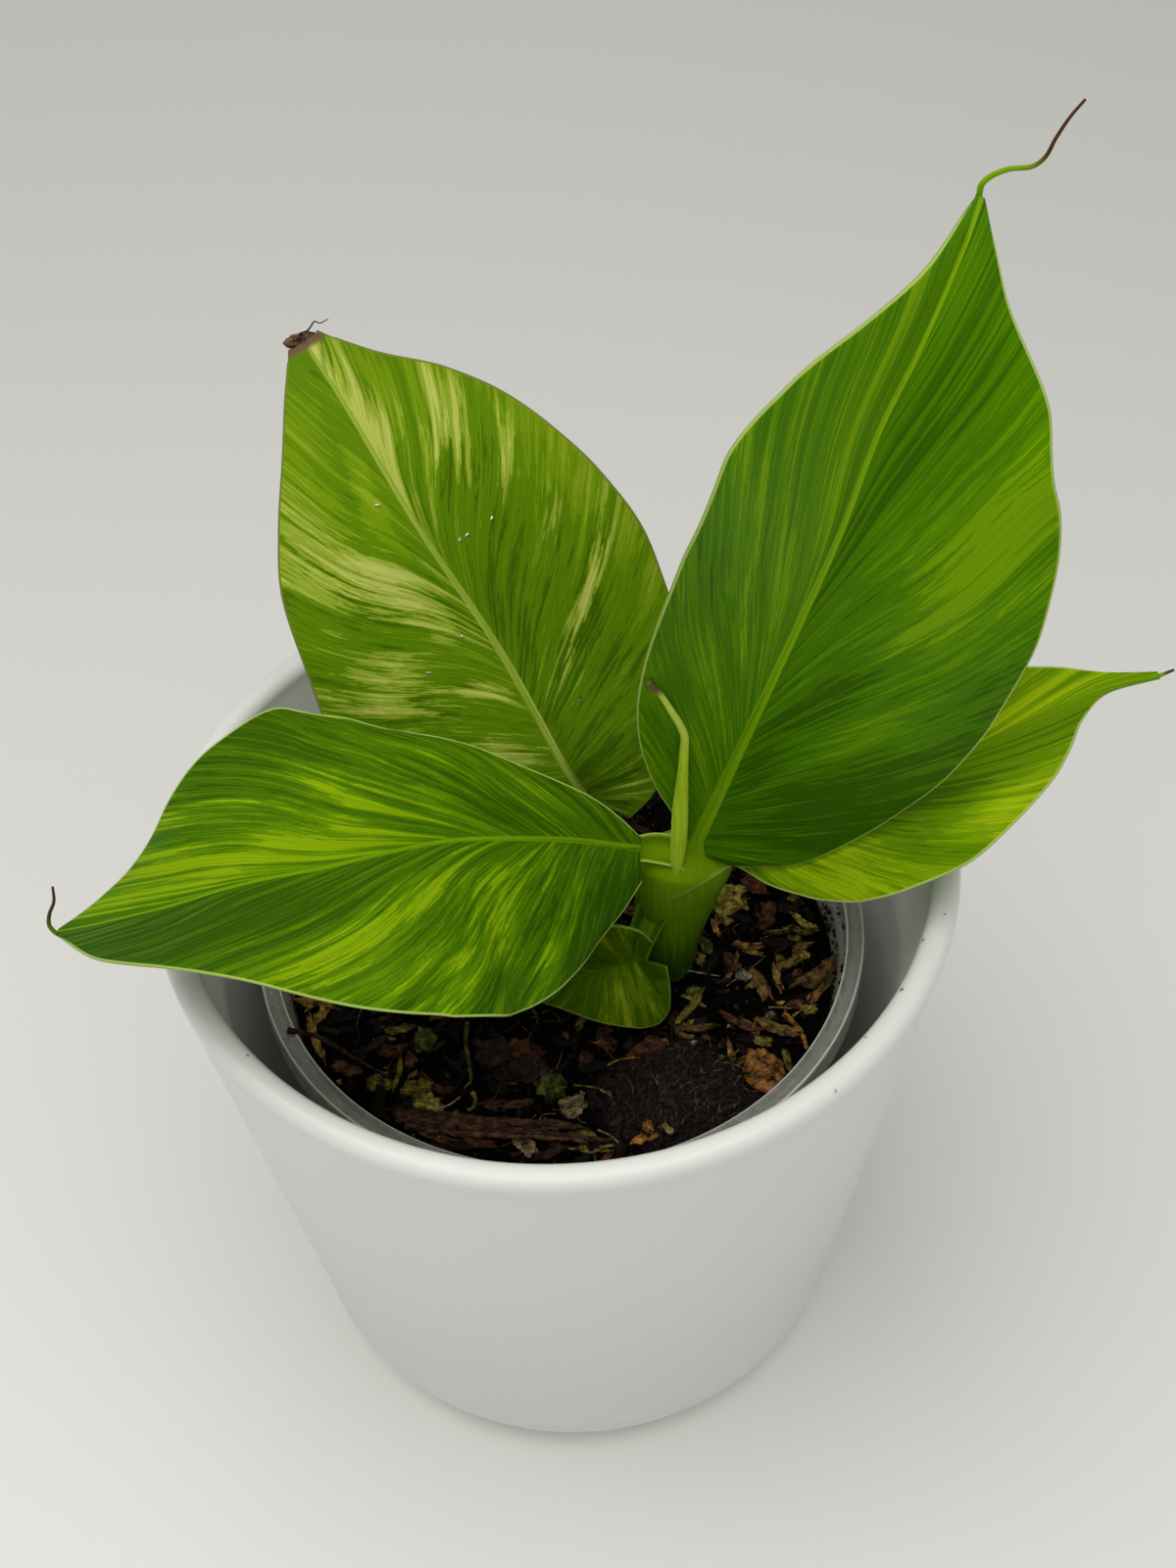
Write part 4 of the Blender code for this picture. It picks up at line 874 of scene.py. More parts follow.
def limb_part(leaf, at_tip):
    """The petiole up to the foot of the blade, or the drawn-out tip, as a tapered tube."""
    mid, _, _, _, face = midrib_frame(leaf)
    stalk_radius, foot_radius, tip_radius, end_radius = leaf["rib"]
    samples = np.array(TIP_SAMPLES if at_tip else FOOT_SAMPLES)
    share = samples % MIDRIB_SAMPLES / (MIDRIB_SAMPLES - 1)
    rib = rib_radius(leaf, share)
    sunk = mid[samples] - face[samples] * (rib * RIB_SINK)[:, None]
    if at_tip:
        route = np.vstack([sunk, leaf["tail"]])
        radii = np.r_[rib, np.linspace(tip_radius, end_radius, len(leaf["tail"]) + 1)[1:]]
    else:
        route = np.vstack([leaf["petiole"], sunk])
        radii = np.r_[np.linspace(stalk_radius, foot_radius, len(leaf["petiole"]) + 1)[:-1], rib]
    points, total = smooth_curve(route, LIMB_ROWS)
    knots = np.r_[0, np.cumsum(np.linalg.norm(np.diff(route, axis=0), axis=1))]
    radius = np.interp(np.linspace(0, knots[-1], LIMB_ROWS), knots, radii)
    radius = radius * (np.linspace(1, TAIL_TAPER, LIMB_ROWS) if at_tip else 1.0)
    made = tube_part(points, radius, face[-1] if at_tip else face[0], sides=LIMB_SIDES)
    spot = np.r_[np.repeat(np.linspace(0, 1, LIMB_ROWS), LIMB_SIDES), 0, 1]
    made["data"] = {
        "vein": np.stack([spot * total, np.zeros_like(spot), np.full_like(spot, 600.0)], -1),
        "rib": np.zeros_like(spot),
        "edge": np.full_like(spot, FAR),
        "share": 1 + spot if at_tip else -spot,
    }
    return made


# Patches by field and half: share of the veins from and to, share of the way out from and to, amount
PATCH_FADE = 0.35
PATCHES = {
    "leaf_back_right": {
        ("light", "left"): (
            (-0.5, 1.5, -0.5, 1.5, 0.15), (0.77, 0.81, 0.2, 0.75, 0.5), (0.84, 0.88, 0.3, 0.9, 0.5),
            (0.7, 0.74, 0.3, 0.95, 0.4), (0.59, 0.64, 0.2, 0.6, 0.35), (0.44, 0.51, 0.1, 0.5, 0.3),
            (-0.1, 0.25, 0.5, 1.1, 0.35),
        ),
        ("light", "right"): (
            (-0.5, 1.5, -0.5, 1.5, -0.1), (0.58, 0.82, 0.5, 1.1, 0.55), (0.68, 0.76, 0.62, 1.05, 0.35),
            (0.44, 0.56, 0.25, 0.7, 0.45), (0.08, 0.2, 0.1, 0.6, 0.25), (0.8, 0.92, 0.1, 0.9, -0.1),
            (-0.2, 0.42, 0.25, 1.1, -0.4), (0.56, 0.66, 0.1, 0.6, -0.25), (0.02, 0.1, 0.3, 1, 0.45),
        ),
    },
    "leaf_back_left": {
        ("cream", "right"): (
            (0.79, 0.845, 0.62, 0.98, 0.75), (0.7, 0.735, 0.68, 0.92, 0.6), (0.6, 0.63, 0.62, 0.8, 0.6),
            (0.48, 0.525, 0.3, 0.95, 0.6), (0.9, 1.1, -0.6, 0.72, 0.85), (-0.3, 0.1, 0.2, 0.95, 0.45),
        ),
        ("light", "right"): (
            (0.86, 0.93, 0.4, 0.9, 0.4), (0.1, 0.95, 0.85, 1.1, 0.3), (0.1, 0.7, -0.3, 0.5, -0.2),
        ),
        ("cream", "left"): (
            (0.64, 0.76, 0.1, 1.1, 0.75), (0.51, 0.58, 0.45, 0.85, 0.55), (0.41, 0.49, 0.4, 0.98, 0.6),
            (0.48, 0.53, 0.08, 0.3, 0.6), (0.28, 0.37, 0.05, 0.45, 0.55),
        ),
        ("light", "left"): ((0.8, 0.9, 0.3, 0.5, 0.5), (0.75, 0.95, 0.7, 1.1, 0.3),),
    },
    "leaf_front_left": {
        ("light", "right"): (
            (0.76, 0.9, 0.1, 0.5, 0.4), (0.87, 0.98, 0.2, 1.02, 0.4), (0.68, 0.8, 0.3, 0.7, 0.3),
            (0.3, 0.45, 0.4, 0.9, 0.3), (0.5, 0.75, 0.75, 1.1, -0.35),
        ),
        ("light", "left"): (
            (0.6, 0.72, 0.25, 1.02, 0.45), (0.48, 0.58, 0.3, 1.02, 0.4), (0.28, 0.36, 0.1, 0.9, 0.3),
            (0.74, 0.95, 0.15, 0.95, -0.4), (-0.3, 0.26, 0.2, 1.1, -0.5),
        ),
    },
    "leaf_right": {
        ("light", "right"): (
            (0.25, 0.5, 0.4, 1.05, 0.6), (0.58, 0.72, 0.8, 1.05, 0.5), (0.6, 0.75, 0.2, 0.75, -0.3),
            (0.1, 0.3, 0.2, 0.8, 0.25),
        ),
        ("light", "left"): ((0.8, 0.95, 0.2, 1, 0.5), (0.4, 0.6, 0.3, 0.8, 0.3),),
    },
    "leaf_low": {
        ("light", "left"): ((0.25, 0.6, 0.3, 1.02, 0.35), (0.1, 0.2, 0.3, 1, 0.3),),
    },
}


# Streaks: stretch across the veins, along them and between halves; shift; detail; roughness
STREAKS = {
    "fine": ((1.3, 0.06, 1.0), (0.0, 0.0, 0.0), 3.0, 0.65),
    "hair": ((4.5, 0.05, 1.0), (0.0, 0.0, 0.0), 2.0, 0.6),
    "broad": ((0.16, 0.022, 1.0), (0.0, 0.0, 0.0), 2.0, 0.5),
    "torn": ((0.5, 0.085, 1.0), (7.0, 3.0, 0.0), 5.0, 0.7),
    "ribbed": ((0.03, 2.6, 1.0), (0.0, 0.0, 0.0), 2.0, 0.5),
}

# Where the tone and the cream pass from one colour of the look to the next: from, to and colour
TONE_STEPS = ((-0.3, -0.16, "mid"), (0.14, 0.2, "light"), (0.44, 0.5, "lime"))
CREAM_STEPS = ((0.4, 0.45, "pale"), (0.66, 0.72, "cream"))
VEIN_SPACING = 0.75


def leaf_material(name, look):
    """Streaked green of a variegated leaf, with parallel veins, a pale midrib and a light margin."""
    g = Graph(name, Roughness=0.45, Specular_IOR_Level=0.16, Specular_Tint=(0.85, 1.0, 0.03))
    vein = g.attribute("vein", "Vector")
    fine, hair, broad, torn, ribbed = [
        g.noise(g.scaled(vein, stretch, shift), 1.0, detail, roughness)
        for stretch, shift, detail, roughness in STREAKS.values()
    ]
    tone = g.attribute("light")
    for field, amount in ((broad, look["broad"]), (torn, look["torn"]), (fine, look["fine"])):
        tone = g.math("ADD", tone, g.math("MULTIPLY_ADD", field, amount, -amount / 2))
    cream = g.math("MULTIPLY_ADD", torn, look["fleck"], g.attribute("cream"))
    cream = g.math("ADD", cream, g.math("MULTIPLY_ADD", fine, 1.3, -0.65 - look["fleck"] / 2))
    colour = look["dark"]
    for field, steps in ((tone, TONE_STEPS), (cream, CREAM_STEPS)):
        for low, high, key in steps:
            colour = g.paint(colour, field, low, high, look[key])
    wander = g.math("MULTIPLY_ADD", broad, 5.0, g.node("SeparateXYZ", {0: vein}, 0))
    line = g.step(g.math("PINGPONG", wander, VEIN_SPACING), 0.6, 0.73)
    line = g.math("MULTIPLY", line, g.step(hair, 0.3, 0.55))
    colour = g.mix(g.math("MULTIPLY", line, look["line"]), colour, look["lime"])
    colour = g.mix(g.math("MULTIPLY", g.step(hair, 0.48, 0.66), 0.45), colour, look["dark"])
    stripe = g.mix(g.step(ribbed, 0.35, 0.65), look["rib"], look["rib_pale"])
    wide = look["rib_width"]
    colour = g.paint(colour, g.attribute("rib"), wide * 1.15, wide * 0.75, stripe)
    colour = g.paint(colour, g.attribute("edge"), 0.3, 0.16, look["edge"])
    colour = g.mix(g.math("MULTIPLY", g.attribute("under"), 0.75), colour, look["under"])
    colour = g.paint(colour, g.attribute("share"), *look["dry"], look["brown"])
    relief = g.math("MULTIPLY_ADD", line, -0.5, fine)
    g.bump(g.math("MULTIPLY_ADD", hair, 0.4, relief), 0.07, 0.6)
    return g.finish(Base_Color=colour)


# Looks of the leaves: linear colours, how strong each kind of streak is, how wide the rib's stripe is,
# and the shares of the length between which the tip turns brown. GREEN holds what most of them share.
GREEN = {
    "lime": (0.21, 0.36, 0.002), "cream": (0.5, 0.56, 0.09), "pale": (0.25, 0.37, 0.015),
    "rib": (0.12, 0.26, 0.002), "rib_pale": (0.18, 0.34, 0.004), "rib_width": 0.55,
    "edge": (0.38, 0.5, 0.12), "under": (0.1, 0.2, 0.02), "brown": (0.075, 0.028, 0.014),
    "broad": 1.0, "torn": 2.2, "fine": 0.8, "fleck": 1.2, "line": 0.35, "dry": (1.5, 1.7),
}
LOOKS = {
    "leaf_back_right": {
        **GREEN, "dark": (0.024, 0.1, 0.001), "mid": (0.056, 0.18, 0.001), "light": (0.09, 0.245, 0.001),
        "lime": (0.17, 0.34, 0.002), "rib": (0.15, 0.32, 0.003), "rib_pale": (0.21, 0.39, 0.005),
        "torn": 2.6,
    },
    "leaf_back_left": {
        **GREEN, "dark": (0.04, 0.105, 0.002), "mid": (0.085, 0.19, 0.002), "light": (0.14, 0.255, 0.004),
        "lime": (0.21, 0.31, 0.012), "pale": (0.26, 0.35, 0.03), "cream": (0.43, 0.48, 0.1),
        "rib": (0.16, 0.27, 0.01), "rib_pale": (0.36, 0.44, 0.08), "rib_width": 0.42,
        "edge": (0.15, 0.18, 0.03), "brown": (0.14, 0.085, 0.05), "fleck": 2.3, "dry": (0.975, 0.99),
    },
    "leaf_front_left": {
        **GREEN, "dark": (0.02, 0.075, 0.001), "mid": (0.045, 0.135, 0.001), "light": (0.09, 0.21, 0.001),
        "lime": (0.21, 0.35, 0.002), "rib_width": 0.3, "torn": 3.6, "broad": 1.4, "dry": (1.35, 1.65),
    },
    "leaf_right": {
        **GREEN, "dark": (0.05, 0.14, 0.001), "mid": (0.11, 0.235, 0.001), "light": (0.19, 0.34, 0.002),
        "lime": (0.32, 0.46, 0.004), "rib_width": 0.45, "torn": 2.6, "dry": (1.7, 1.85),
    },
    # Painted shade: the low leaf's colours are darker throughout than the other leaves'
    "leaf_low": {
        **GREEN, "dark": (0.02, 0.06, 0.001), "mid": (0.05, 0.11, 0.001), "light": (0.1, 0.17, 0.002),
        "lime": (0.2, 0.27, 0.012), "rib": (0.045, 0.11, 0.001), "rib_pale": (0.08, 0.15, 0.002),
        "rib_width": 0.3, "edge": (0.17, 0.25, 0.04), "torn": 2.8, "dry": (1.0, 1.4),
    },
}


def make_leaf(name, seed):
    """A leaf's blade with its petiole and its drawn-out tip, where these show as tubes."""
    leaf = LEAVES[name]
    parts = [blade_parts(name, leaf, seed)]
    if name == "leaf_low":
        parts.append(channel_part(LOW_ROUTE, LOW_RADII, LOW_UP))
    elif name != "leaf_front_left":
        parts.append(limb_part(leaf, False))
    if name != "leaf_back_left":
        parts.append(limb_part(leaf, True))
    add_piece(name + "_fine", parts, [leaf_material(name + "_skin", LOOKS[name])], [name])


def make_dry_tip():
    """The withered tip of the back left leaf with a curled thread, and the specks on its face."""
    rng = np.random.default_rng(5)
    cap = lump_part(DRY_CAP, DRY_CAP_SIZE, 20.0, rng, DRY_COLOUR, 0.25)
    points, _ = smooth_curve(DRY_THREAD, 60)
    thread = tube_part(points, np.linspace(0.2, 0.08, 60), (0.0, -1.0, 0.3), sides=8)
    thread["data"] = piece_data(thread["points"], THREAD_COLOUR)
    dust = [speck_part("leaf_back_left", spot, rng) for spot in DUST]
    add_piece("dry_tip", [cap, thread] + dust, [chip_material("dry_tissue")])


def speck_part(name, spot, rng):
    """A white speck on a leaf's face, at the place that a pixel of the photograph shows."""
    right, up, back, place = [np.array(axis) for axis in camera_axes()]
    found = []
    for key, sweep in zip(HALVES, VEIN_SWEEP[name]):
        half = half_surface(LEAVES[name], key, sweep, 120, 20)
        points = half["point"].reshape(-1, 3) - place
        depth = -(points @ back)
        x = PHOTO_SIZE[0] / 2 + FOCAL * (points @ right) / depth
        y = PHOTO_SIZE[1] / 2 - FOCAL * (points @ up) / depth
        away = np.hypot(x - spot[0], y - spot[1])
        k = int(np.argmin(away))
        found.append((away[k], points[k] + place, half["up"].reshape(-1, 3)[k]))
    _, point, face = min(found, key=lambda near: near[0])
    yaw, tilt = rng.uniform(0, 3), rng.uniform(-0.4, 0.4)
    made = flake_part(point + 0.55 * face, yaw, tilt, SPECK_SIZE, rng, TINTS["white"], 5, 3)
    made["index"] = 0
    return made


def stem_material():
    """Pale yellow-green sheaths, darker towards the foot as painted shade, with fine veins and thin light
    margins.
    """
    g = Graph("stem_skin", Roughness=0.42, Specular_IOR_Level=0.2, Specular_Tint=(0.85, 1.0, 0.05))
    place = g.place()
    streak = g.noise(g.scaled(place, (1.6, 1.6, 0.05)), detail=3.0)
    # Painted shade: the green darkens towards the foot
    colour = STEM_FOOT_SHADED_COLOUR
    for low, high, tint in STEM_COLOURS:
        colour = g.paint(colour, g.height(place), low, high, tint)
    colour = g.mix(g.math("MULTIPLY", g.step(streak, 0.45, 0.75), 0.35), colour, STEM_STREAK_COLOUR)
    colour = g.mix(g.attribute("margin"), colour, SHEATH_EDGE_COLOUR)
    g.bump(streak, 0.1, 0.6)
    return g.finish(Base_Color=colour)


def sheath_line(turn):
    """Height of the outer sheath's slanting margin at an angle round the stem, and how plain it is."""
    degrees = np.degrees(turn) % 360.0
    angles, heights = np.array(SHEATH_MARGIN).T
    plain = np.clip(np.minimum(degrees - angles[0], angles[-1] - degrees) / SHEATH_FADE, 0, 1)
    return np.interp(degrees, angles, heights), plain


def make_stem():
    """The stem of rolled sheaths, which narrows at its top into the largest leaf's midrib."""
    rings = np.array(STEM_RINGS[:-2] + STEM_CROWN, float)
    z = np.linspace(rings[0, 2], rings[-1, 2], 220)[:, None]
    x, y, wide, deep = [smooth_table(list(zip(rings[:, 2], rings[:, k])), z) for k in (0, 1, 3, 4)]
    turn = circle(128)
    line, plain = sheath_line(turn)
    layer = SHEATH_THICKNESS * np.clip((z - line) / 0.5, 0, 1) * plain
    ripple = RIPPLE * np.sin(30 * turn) * np.clip((wide - 1) / 3, 0, 1)
    across, along = wide + layer + ripple, deep + layer + ripple
    points = np.stack([x + across * np.cos(turn), y + along * np.sin(turn), z + 0 * turn], -1)
    edge = np.exp(-((z - line - 0.5) / 0.45) ** 2) * plain * 0.6
    ends = [rings[0, :3], rings[-1, :3]]
    stem = skin(points, ends, flip=False, margin=np.r_[edge.ravel(), 0, 0])
    channel = channel_part(CHANNEL_ROUTE, CHANNEL_RADII, CHANNEL_UP)
    add_piece("stem_sheaths", [stem, channel], [stem_material()], ["pseudostem"])


def channel_part(route, radii, up):
    """A petiole that is open above, as a curved wall with rounded edges."""
    rows, half = 60, 22
    points, total = smooth_curve(route, rows)
    _, side, up = directions(points, np.array(up))
    radius = even_table(radii, rows)[:, None]
    spread = np.linspace(-1, 1, half)
    angle = spread * math.radians(CHANNEL_OPENING)
    wall = CHANNEL_WALL * np.sqrt(np.clip(1.04 - spread ** 8, 0, 1))
    outer = np.stack([np.sin(angle) * radius, -np.cos(angle) * radius], -1)
    inner = (outer * ((radius - wall) / radius)[..., None])[:, ::-1]
    section = np.concatenate([outer, inner], axis=1)
    spots = points[:, None] + side[:, None] * section[..., :1] + up[:, None] * section[..., 1:]
    across = 2 * half
    last = (rows - 1) * across
    faces = grid_faces(rows, across, closed=True, flip=True)
    for k in range(half - 1):
        faces.append([k, k + 1, across - 2 - k, across - 1 - k])
        faces.append([last + k + 1, last + k, last + across - 1 - k, last + across - 2 - k])
    rim = np.clip((np.abs(spread) - 0.9) / 0.08, 0, 1)
    margin = np.tile(np.r_[rim, rim[::-1]], rows) * 0.9
    round_it = (np.r_[angle, angle[::-1]] * radius).ravel()
    vein = np.stack([round_it, np.repeat(np.linspace(0, total, rows), across), 0 * margin + 600.0], -1)
    far = np.full(len(margin), FAR)
    return part(spots, faces, margin=margin, vein=vein, rib=far, edge=FAR * (1 - margin), share=-far)


def lapped(at, turn):
    """Section of the rolled leaf: its outer turn ends in a ledge that winds round it."""
    lap = ((turn - 2.2 - 2.4 * at) / math.tau) % 1.0
    size = 0.88 + 0.2 * lap * np.clip(1.4 - 1.5 * at, 0, 1) + 0.12 * np.clip(1.5 * at - 0.4, 0, 1)
    return np.cos(turn) * size, np.sin(turn) * size


def make_furled_leaf():
    """The rolled young leaf, pale and lightly streaked, with a brown tip."""
    points, _ = smooth_curve(FURLED_ROUTE, FURLED_ROWS)
    g = Graph("furled_skin", Roughness=0.42, Specular_IOR_Level=0.2, Specular_Tint=(0.9, 1.0, 0.1))
    place = g.place()
    streak = g.noise(g.scaled(place, (2.6, 2.6, 0.08)), detail=3.0)
    colour = g.paint(FURLED_STREAKS[0], streak, 0.35, 0.65, FURLED_STREAKS[1])
    for low, high, tint in FURLED_COLOURS:
        colour = g.paint(colour, g.height(place), low, high, tint)
    g.bump(streak, 0.08, 0.6)
    up = (0.0, -1.0, 0.2)
    tube = tube_part(points, even_table(FURLED_RADII, FURLED_ROWS), up, sides=56, squash=lapped)
    skins = [g.finish(Base_Color=colour)]
    add_piece("furled_leaf_fine", [tube], skins, ["furled_leaf"], 50.0)


def planter_inner_radius(z):
    """Radius of the planter's inner wall at a height, from the floor's rounding to the lip."""
    bottom = FOOT_RADIUS - PLANTER_WALL
    top = PLANTER_RADIUS - PLANTER_WALL
    share = (z - FLOOR_THICKNESS - FLOOR_ROUNDING) / (PLANTER_HEIGHT - FLOOR_THICKNESS - FLOOR_ROUNDING)
    return bottom + (top - bottom) * share


def make_planter():
    """The round cover pot, with its rolled rim, tapered wall and rounded foot."""
    shoulder = PLANTER_HEIGHT - LIP_ROUNDING
    floor_corner = (FOOT_RADIUS - PLANTER_WALL - FLOOR_ROUNDING, FLOOR_THICKNESS + FLOOR_ROUNDING)
    foot_corner = (FOOT_RADIUS - FOOT_ROUNDING, FOOT_ROUNDING)
    profile = [(0.0, FLOOR_THICKNESS), (floor_corner[0] / 2, FLOOR_THICKNESS)]
    profile += arc(floor_corner, FLOOR_ROUNDING, -90, 0, 10)
    profile += [(planter_inner_radius(z), z) for z in np.linspace(floor_corner[1], shoulder, 14)[1:-1]]
    profile += arc((planter_inner_radius(shoulder) + LIP_ROUNDING, shoulder), LIP_ROUNDING, 180, 90, 10)
    profile += arc((PLANTER_RADIUS - LIP_ROUNDING, shoulder), LIP_ROUNDING, 84, 0, 10)
    drop = shoulder - (PLANTER_HEIGHT - LIP_HEIGHT) + 1.0
    for t in np.linspace(0, 1, 10)[1:]:
        profile.append((PLANTER_RADIUS - LIP_OVERHANG * (3 * t * t - 2 * t ** 3), shoulder - drop * t))
    wide, high = profile[-1]
    for t in np.linspace(0, 1, 14)[1:-1]:
        profile.append((wide + (FOOT_RADIUS - wide) * t, high + (FOOT_ROUNDING - high) * t))
    profile += arc(foot_corner, FOOT_ROUNDING, 0, -90, 16)
    profile += [(foot_corner[0] / 2, 0.0), (0.0, 0.0)]
    add_piece("planter_glazed", [revolved(profile)], [glaze_material()], ["planter"])


def glaze_material():
    """White glaze with specks of dirt, darker low on the outside as painted shade and brighter inside as
    painted light.
    """
    g = Graph("white_glaze")
    place = g.place()
    height = g.height(place)
    g.bump(g.noise(place, 0.35, 3.0), 0.15, 0.25)
    # Painted shade: the glaze darkens from the top of the wall towards the foot
    colour = g.paint(GLAZE_SHADED_LOW, height, 10.0, 112.0, GLAZE_HIGH)
    # Painted light: the inner wall below the rim is brightened
    inside = g.step(g.math("MULTIPLY_ADD", height, -WALL_LEAN, g.radius(place)), 52.3, 50.8)
    inside = g.math("MULTIPLY", inside, g.step(height, PLANTER_HEIGHT - 1.5, PLANTER_HEIGHT - 5.0))
    colour = g.mix(inside, colour, GLAZE_LIT_INSIDE)
    for angle, out, up, size, dirt in PLANTER_SPECKS:
        turn = math.radians(angle)
        spot = (out * math.cos(turn), out * math.sin(turn), up)
        away = g.node("VectorMath", {0: place, 1: spot}, "Value", operation="DISTANCE")
        away = g.math("MULTIPLY_ADD", g.noise(place, 3.0, 2.0), size, away)
        colour = g.paint(colour, away, 1.6 * size, 0.9 * size, dirt)
    return g.finish(Base_Color=colour, Roughness=g.ranged(g.noise(place, 0.08, 3.0), 0.26, 0.42))


def nursery_outer_radius(z):
    """Radius of the nursery pot's tapered wall at a height above the table."""
    bottom = FLOOR_THICKNESS + GAP
    top = NURSERY_TOP - NURSERY_RIM_HEIGHT
    top_radius = NURSERY_RADIUS - NURSERY_RIM_WIDTH + NURSERY_WALL - NURSERY_STEP
    return NURSERY_BASE_RADIUS + (top_radius - NURSERY_BASE_RADIUS) * (z - bottom) / (top - bottom)


def make_nursery_pot():
    """The clear grower's pot: thin wall, a step below the rim, and a rim with a bead at each edge."""
    bottom = FLOOR_THICKNESS + GAP
    floor = bottom + NURSERY_WALL
    step = NURSERY_TOP - NURSERY_STEP_DROP
    rim_foot = NURSERY_TOP - NURSERY_RIM_HEIGHT
    rim_roof = NURSERY_TOP - NURSERY_WALL - 0.2
    rim_in = NURSERY_RADIUS - NURSERY_RIM_WIDTH
    rim_out = NURSERY_RADIUS - NURSERY_WALL
    inner_floor = nursery_outer_radius(floor) - NURSERY_WALL - 1.0
    inner_step = nursery_outer_radius(step) - NURSERY_WALL
    bead_up = NURSERY_TOP - BEAD
    profile = [(0.0, floor), (inner_floor, floor)]
    profile += arc((inner_floor, floor + 1.0), 1.0, -90, 0, 4)
    profile += [(inner_step, step), (inner_step + 0.3, step + 0.3), (rim_in, step + NURSERY_STEP)]
    profile += arc((rim_in + BEAD, bead_up), BEAD, 180, 60, 6)
    profile += [(rim_in + 1.1, NURSERY_TOP - 0.35), (rim_out - 0.9, NURSERY_TOP - 0.35)]
    profile += arc((NURSERY_RADIUS - BEAD, bead_up), BEAD, 120, 0, 6)
    profile += [(NURSERY_RADIUS, rim_foot + 0.2), (NURSERY_RADIUS - 0.2, rim_foot), (rim_out, rim_foot)]
    profile += [(rim_out, rim_roof), (rim_in + NURSERY_WALL, rim_roof), (rim_in + NURSERY_WALL, step)]
    profile += [(nursery_outer_radius(step - NURSERY_STEP), step - NURSERY_STEP)]
    profile += [(NURSERY_BASE_RADIUS, bottom + 0.3), (NURSERY_BASE_RADIUS - 0.3, bottom), (0.0, bottom)]
    pot = revolved(profile)
    add_piece("nursery_pot_clear", [pot], [plastic_material()], ["nursery_pot"], 40.0)


def plastic_material():
    """Scuffed clear plastic, with painted highlights as bright lines along the rim's edges, and dirt low on
    the wall.
    """
    g = Graph("clear_plastic", Roughness=0.2, Specular_IOR_Level=0.6)
    place = g.place()
    height, radius = g.height(place), g.radius(place)
    grime = g.noise(place, 0.25, 5.0, 0.65)
    scratch = g.noise(g.scaled(place, (0.6, 0.6, 5.0)), 1.0, 3.0, 0.6)
    colour = g.paint(PLASTIC_COLOUR, scratch, 0.5, 0.7, PLASTIC_SCUFFS)
    dirty = g.math("MULTIPLY", g.step(grime, 0.5, 0.62), g.step(height, MIX_TOP + 7.0, MIX_TOP))
    colour = g.mix(dirty, colour, PLASTIC_DIRT)
    # Painted highlights: bright lines along the rim's edges, which also make the plastic there less clear
    lines = [
        g.math("MULTIPLY", g.step(radius, line - 0.35, line), g.step(radius, line + 0.35, line))
        for line in PLASTIC_GLINT_RADII
    ]
    near_top = g.step(height, NURSERY_TOP - 2.0, NURSERY_TOP - 0.6)
    bright = g.math("MULTIPLY", g.math("ADD", *lines), near_top)
    colour = g.mix(bright, colour, PLASTIC_EDGE_GLINT)
    g.bump(scratch, 0.12, 0.5)
    cover = g.ranged(grime, 0.4, 0.6, 0.35, 0.65)
    cover = g.math("MAXIMUM", cover, g.math("MULTIPLY", bright, 0.85))
    cover = g.math("MAXIMUM", cover, g.math("MULTIPLY", dirty, 0.9))
    return g.finish(Base_Color=colour, Alpha=cover)


def mix_radius(z):
    """Radius of the potting mix at a height, just clear of the nursery pot's wall."""
    return nursery_outer_radius(z) - NURSERY_WALL - GAP


def mix_height(x, y):
    """Height of the potting mix at a place: gentle lumps that die away towards the pot's wall."""
    lumps = math.sin(0.31 * x + 1.3) * math.sin(0.27 * y + 0.4)
    ripples = 0.6 * math.sin(0.53 * x - 0.41 * y)
    fade = 1 - min(1.0, math.hypot(x, y) / mix_radius(MIX_TOP)) ** 6
    return MIX_TOP + LUMP_HEIGHT * (lumps + ripples) * fade


def photo_spot(px, py, height):
    """Where the camera's ray through a pixel of the photograph meets a level plane."""
    right, up, back, place = camera_axes()
    ray = right * (px - PHOTO_SIZE[0] / 2) - up * (py - PHOTO_SIZE[1] / 2)
    ray = ray / FOCAL - back
    return place + ray * ((height - place.z) / ray.z)


def bed_height(x, y):
    """Height of the bed with the dome of the coir plug."""
    height = mix_height(x, y)
    (cx, cy, cz), (rx, ry, rz) = COIR_PLUG
    inside = 1 - ((x - cx) / rx) ** 2 - ((y - cy) / ry) ** 2
    return max(height, cz + rz * math.sqrt(inside)) if inside > 0 else height


def piece_data(points, tint, shine=0.0):
    """Values that the chip material reads: a tint, a place for its grain and how much it shines."""
    points = np.asarray(points, float)
    shine = np.full(len(points), shine)
    return {"tint": np.broadcast_to(tint, points.shape), "grain": points, "shine": shine}


def turned(points, yaw, tilt, roll, middle):
    """The points turned about the three axes and moved to their middle."""
    turn = Matrix.Rotation(yaw, 3, "Z") @ Matrix.Rotation(tilt, 3, "Y") @ Matrix.Rotation(roll, 3, "X")
    return np.asarray(points) @ np.array(turn).T + np.asarray(middle, float)


def any_tint(rng, names):
    """The colour of one of the named tints."""
    return TINTS[names[rng.integers(len(names))]]


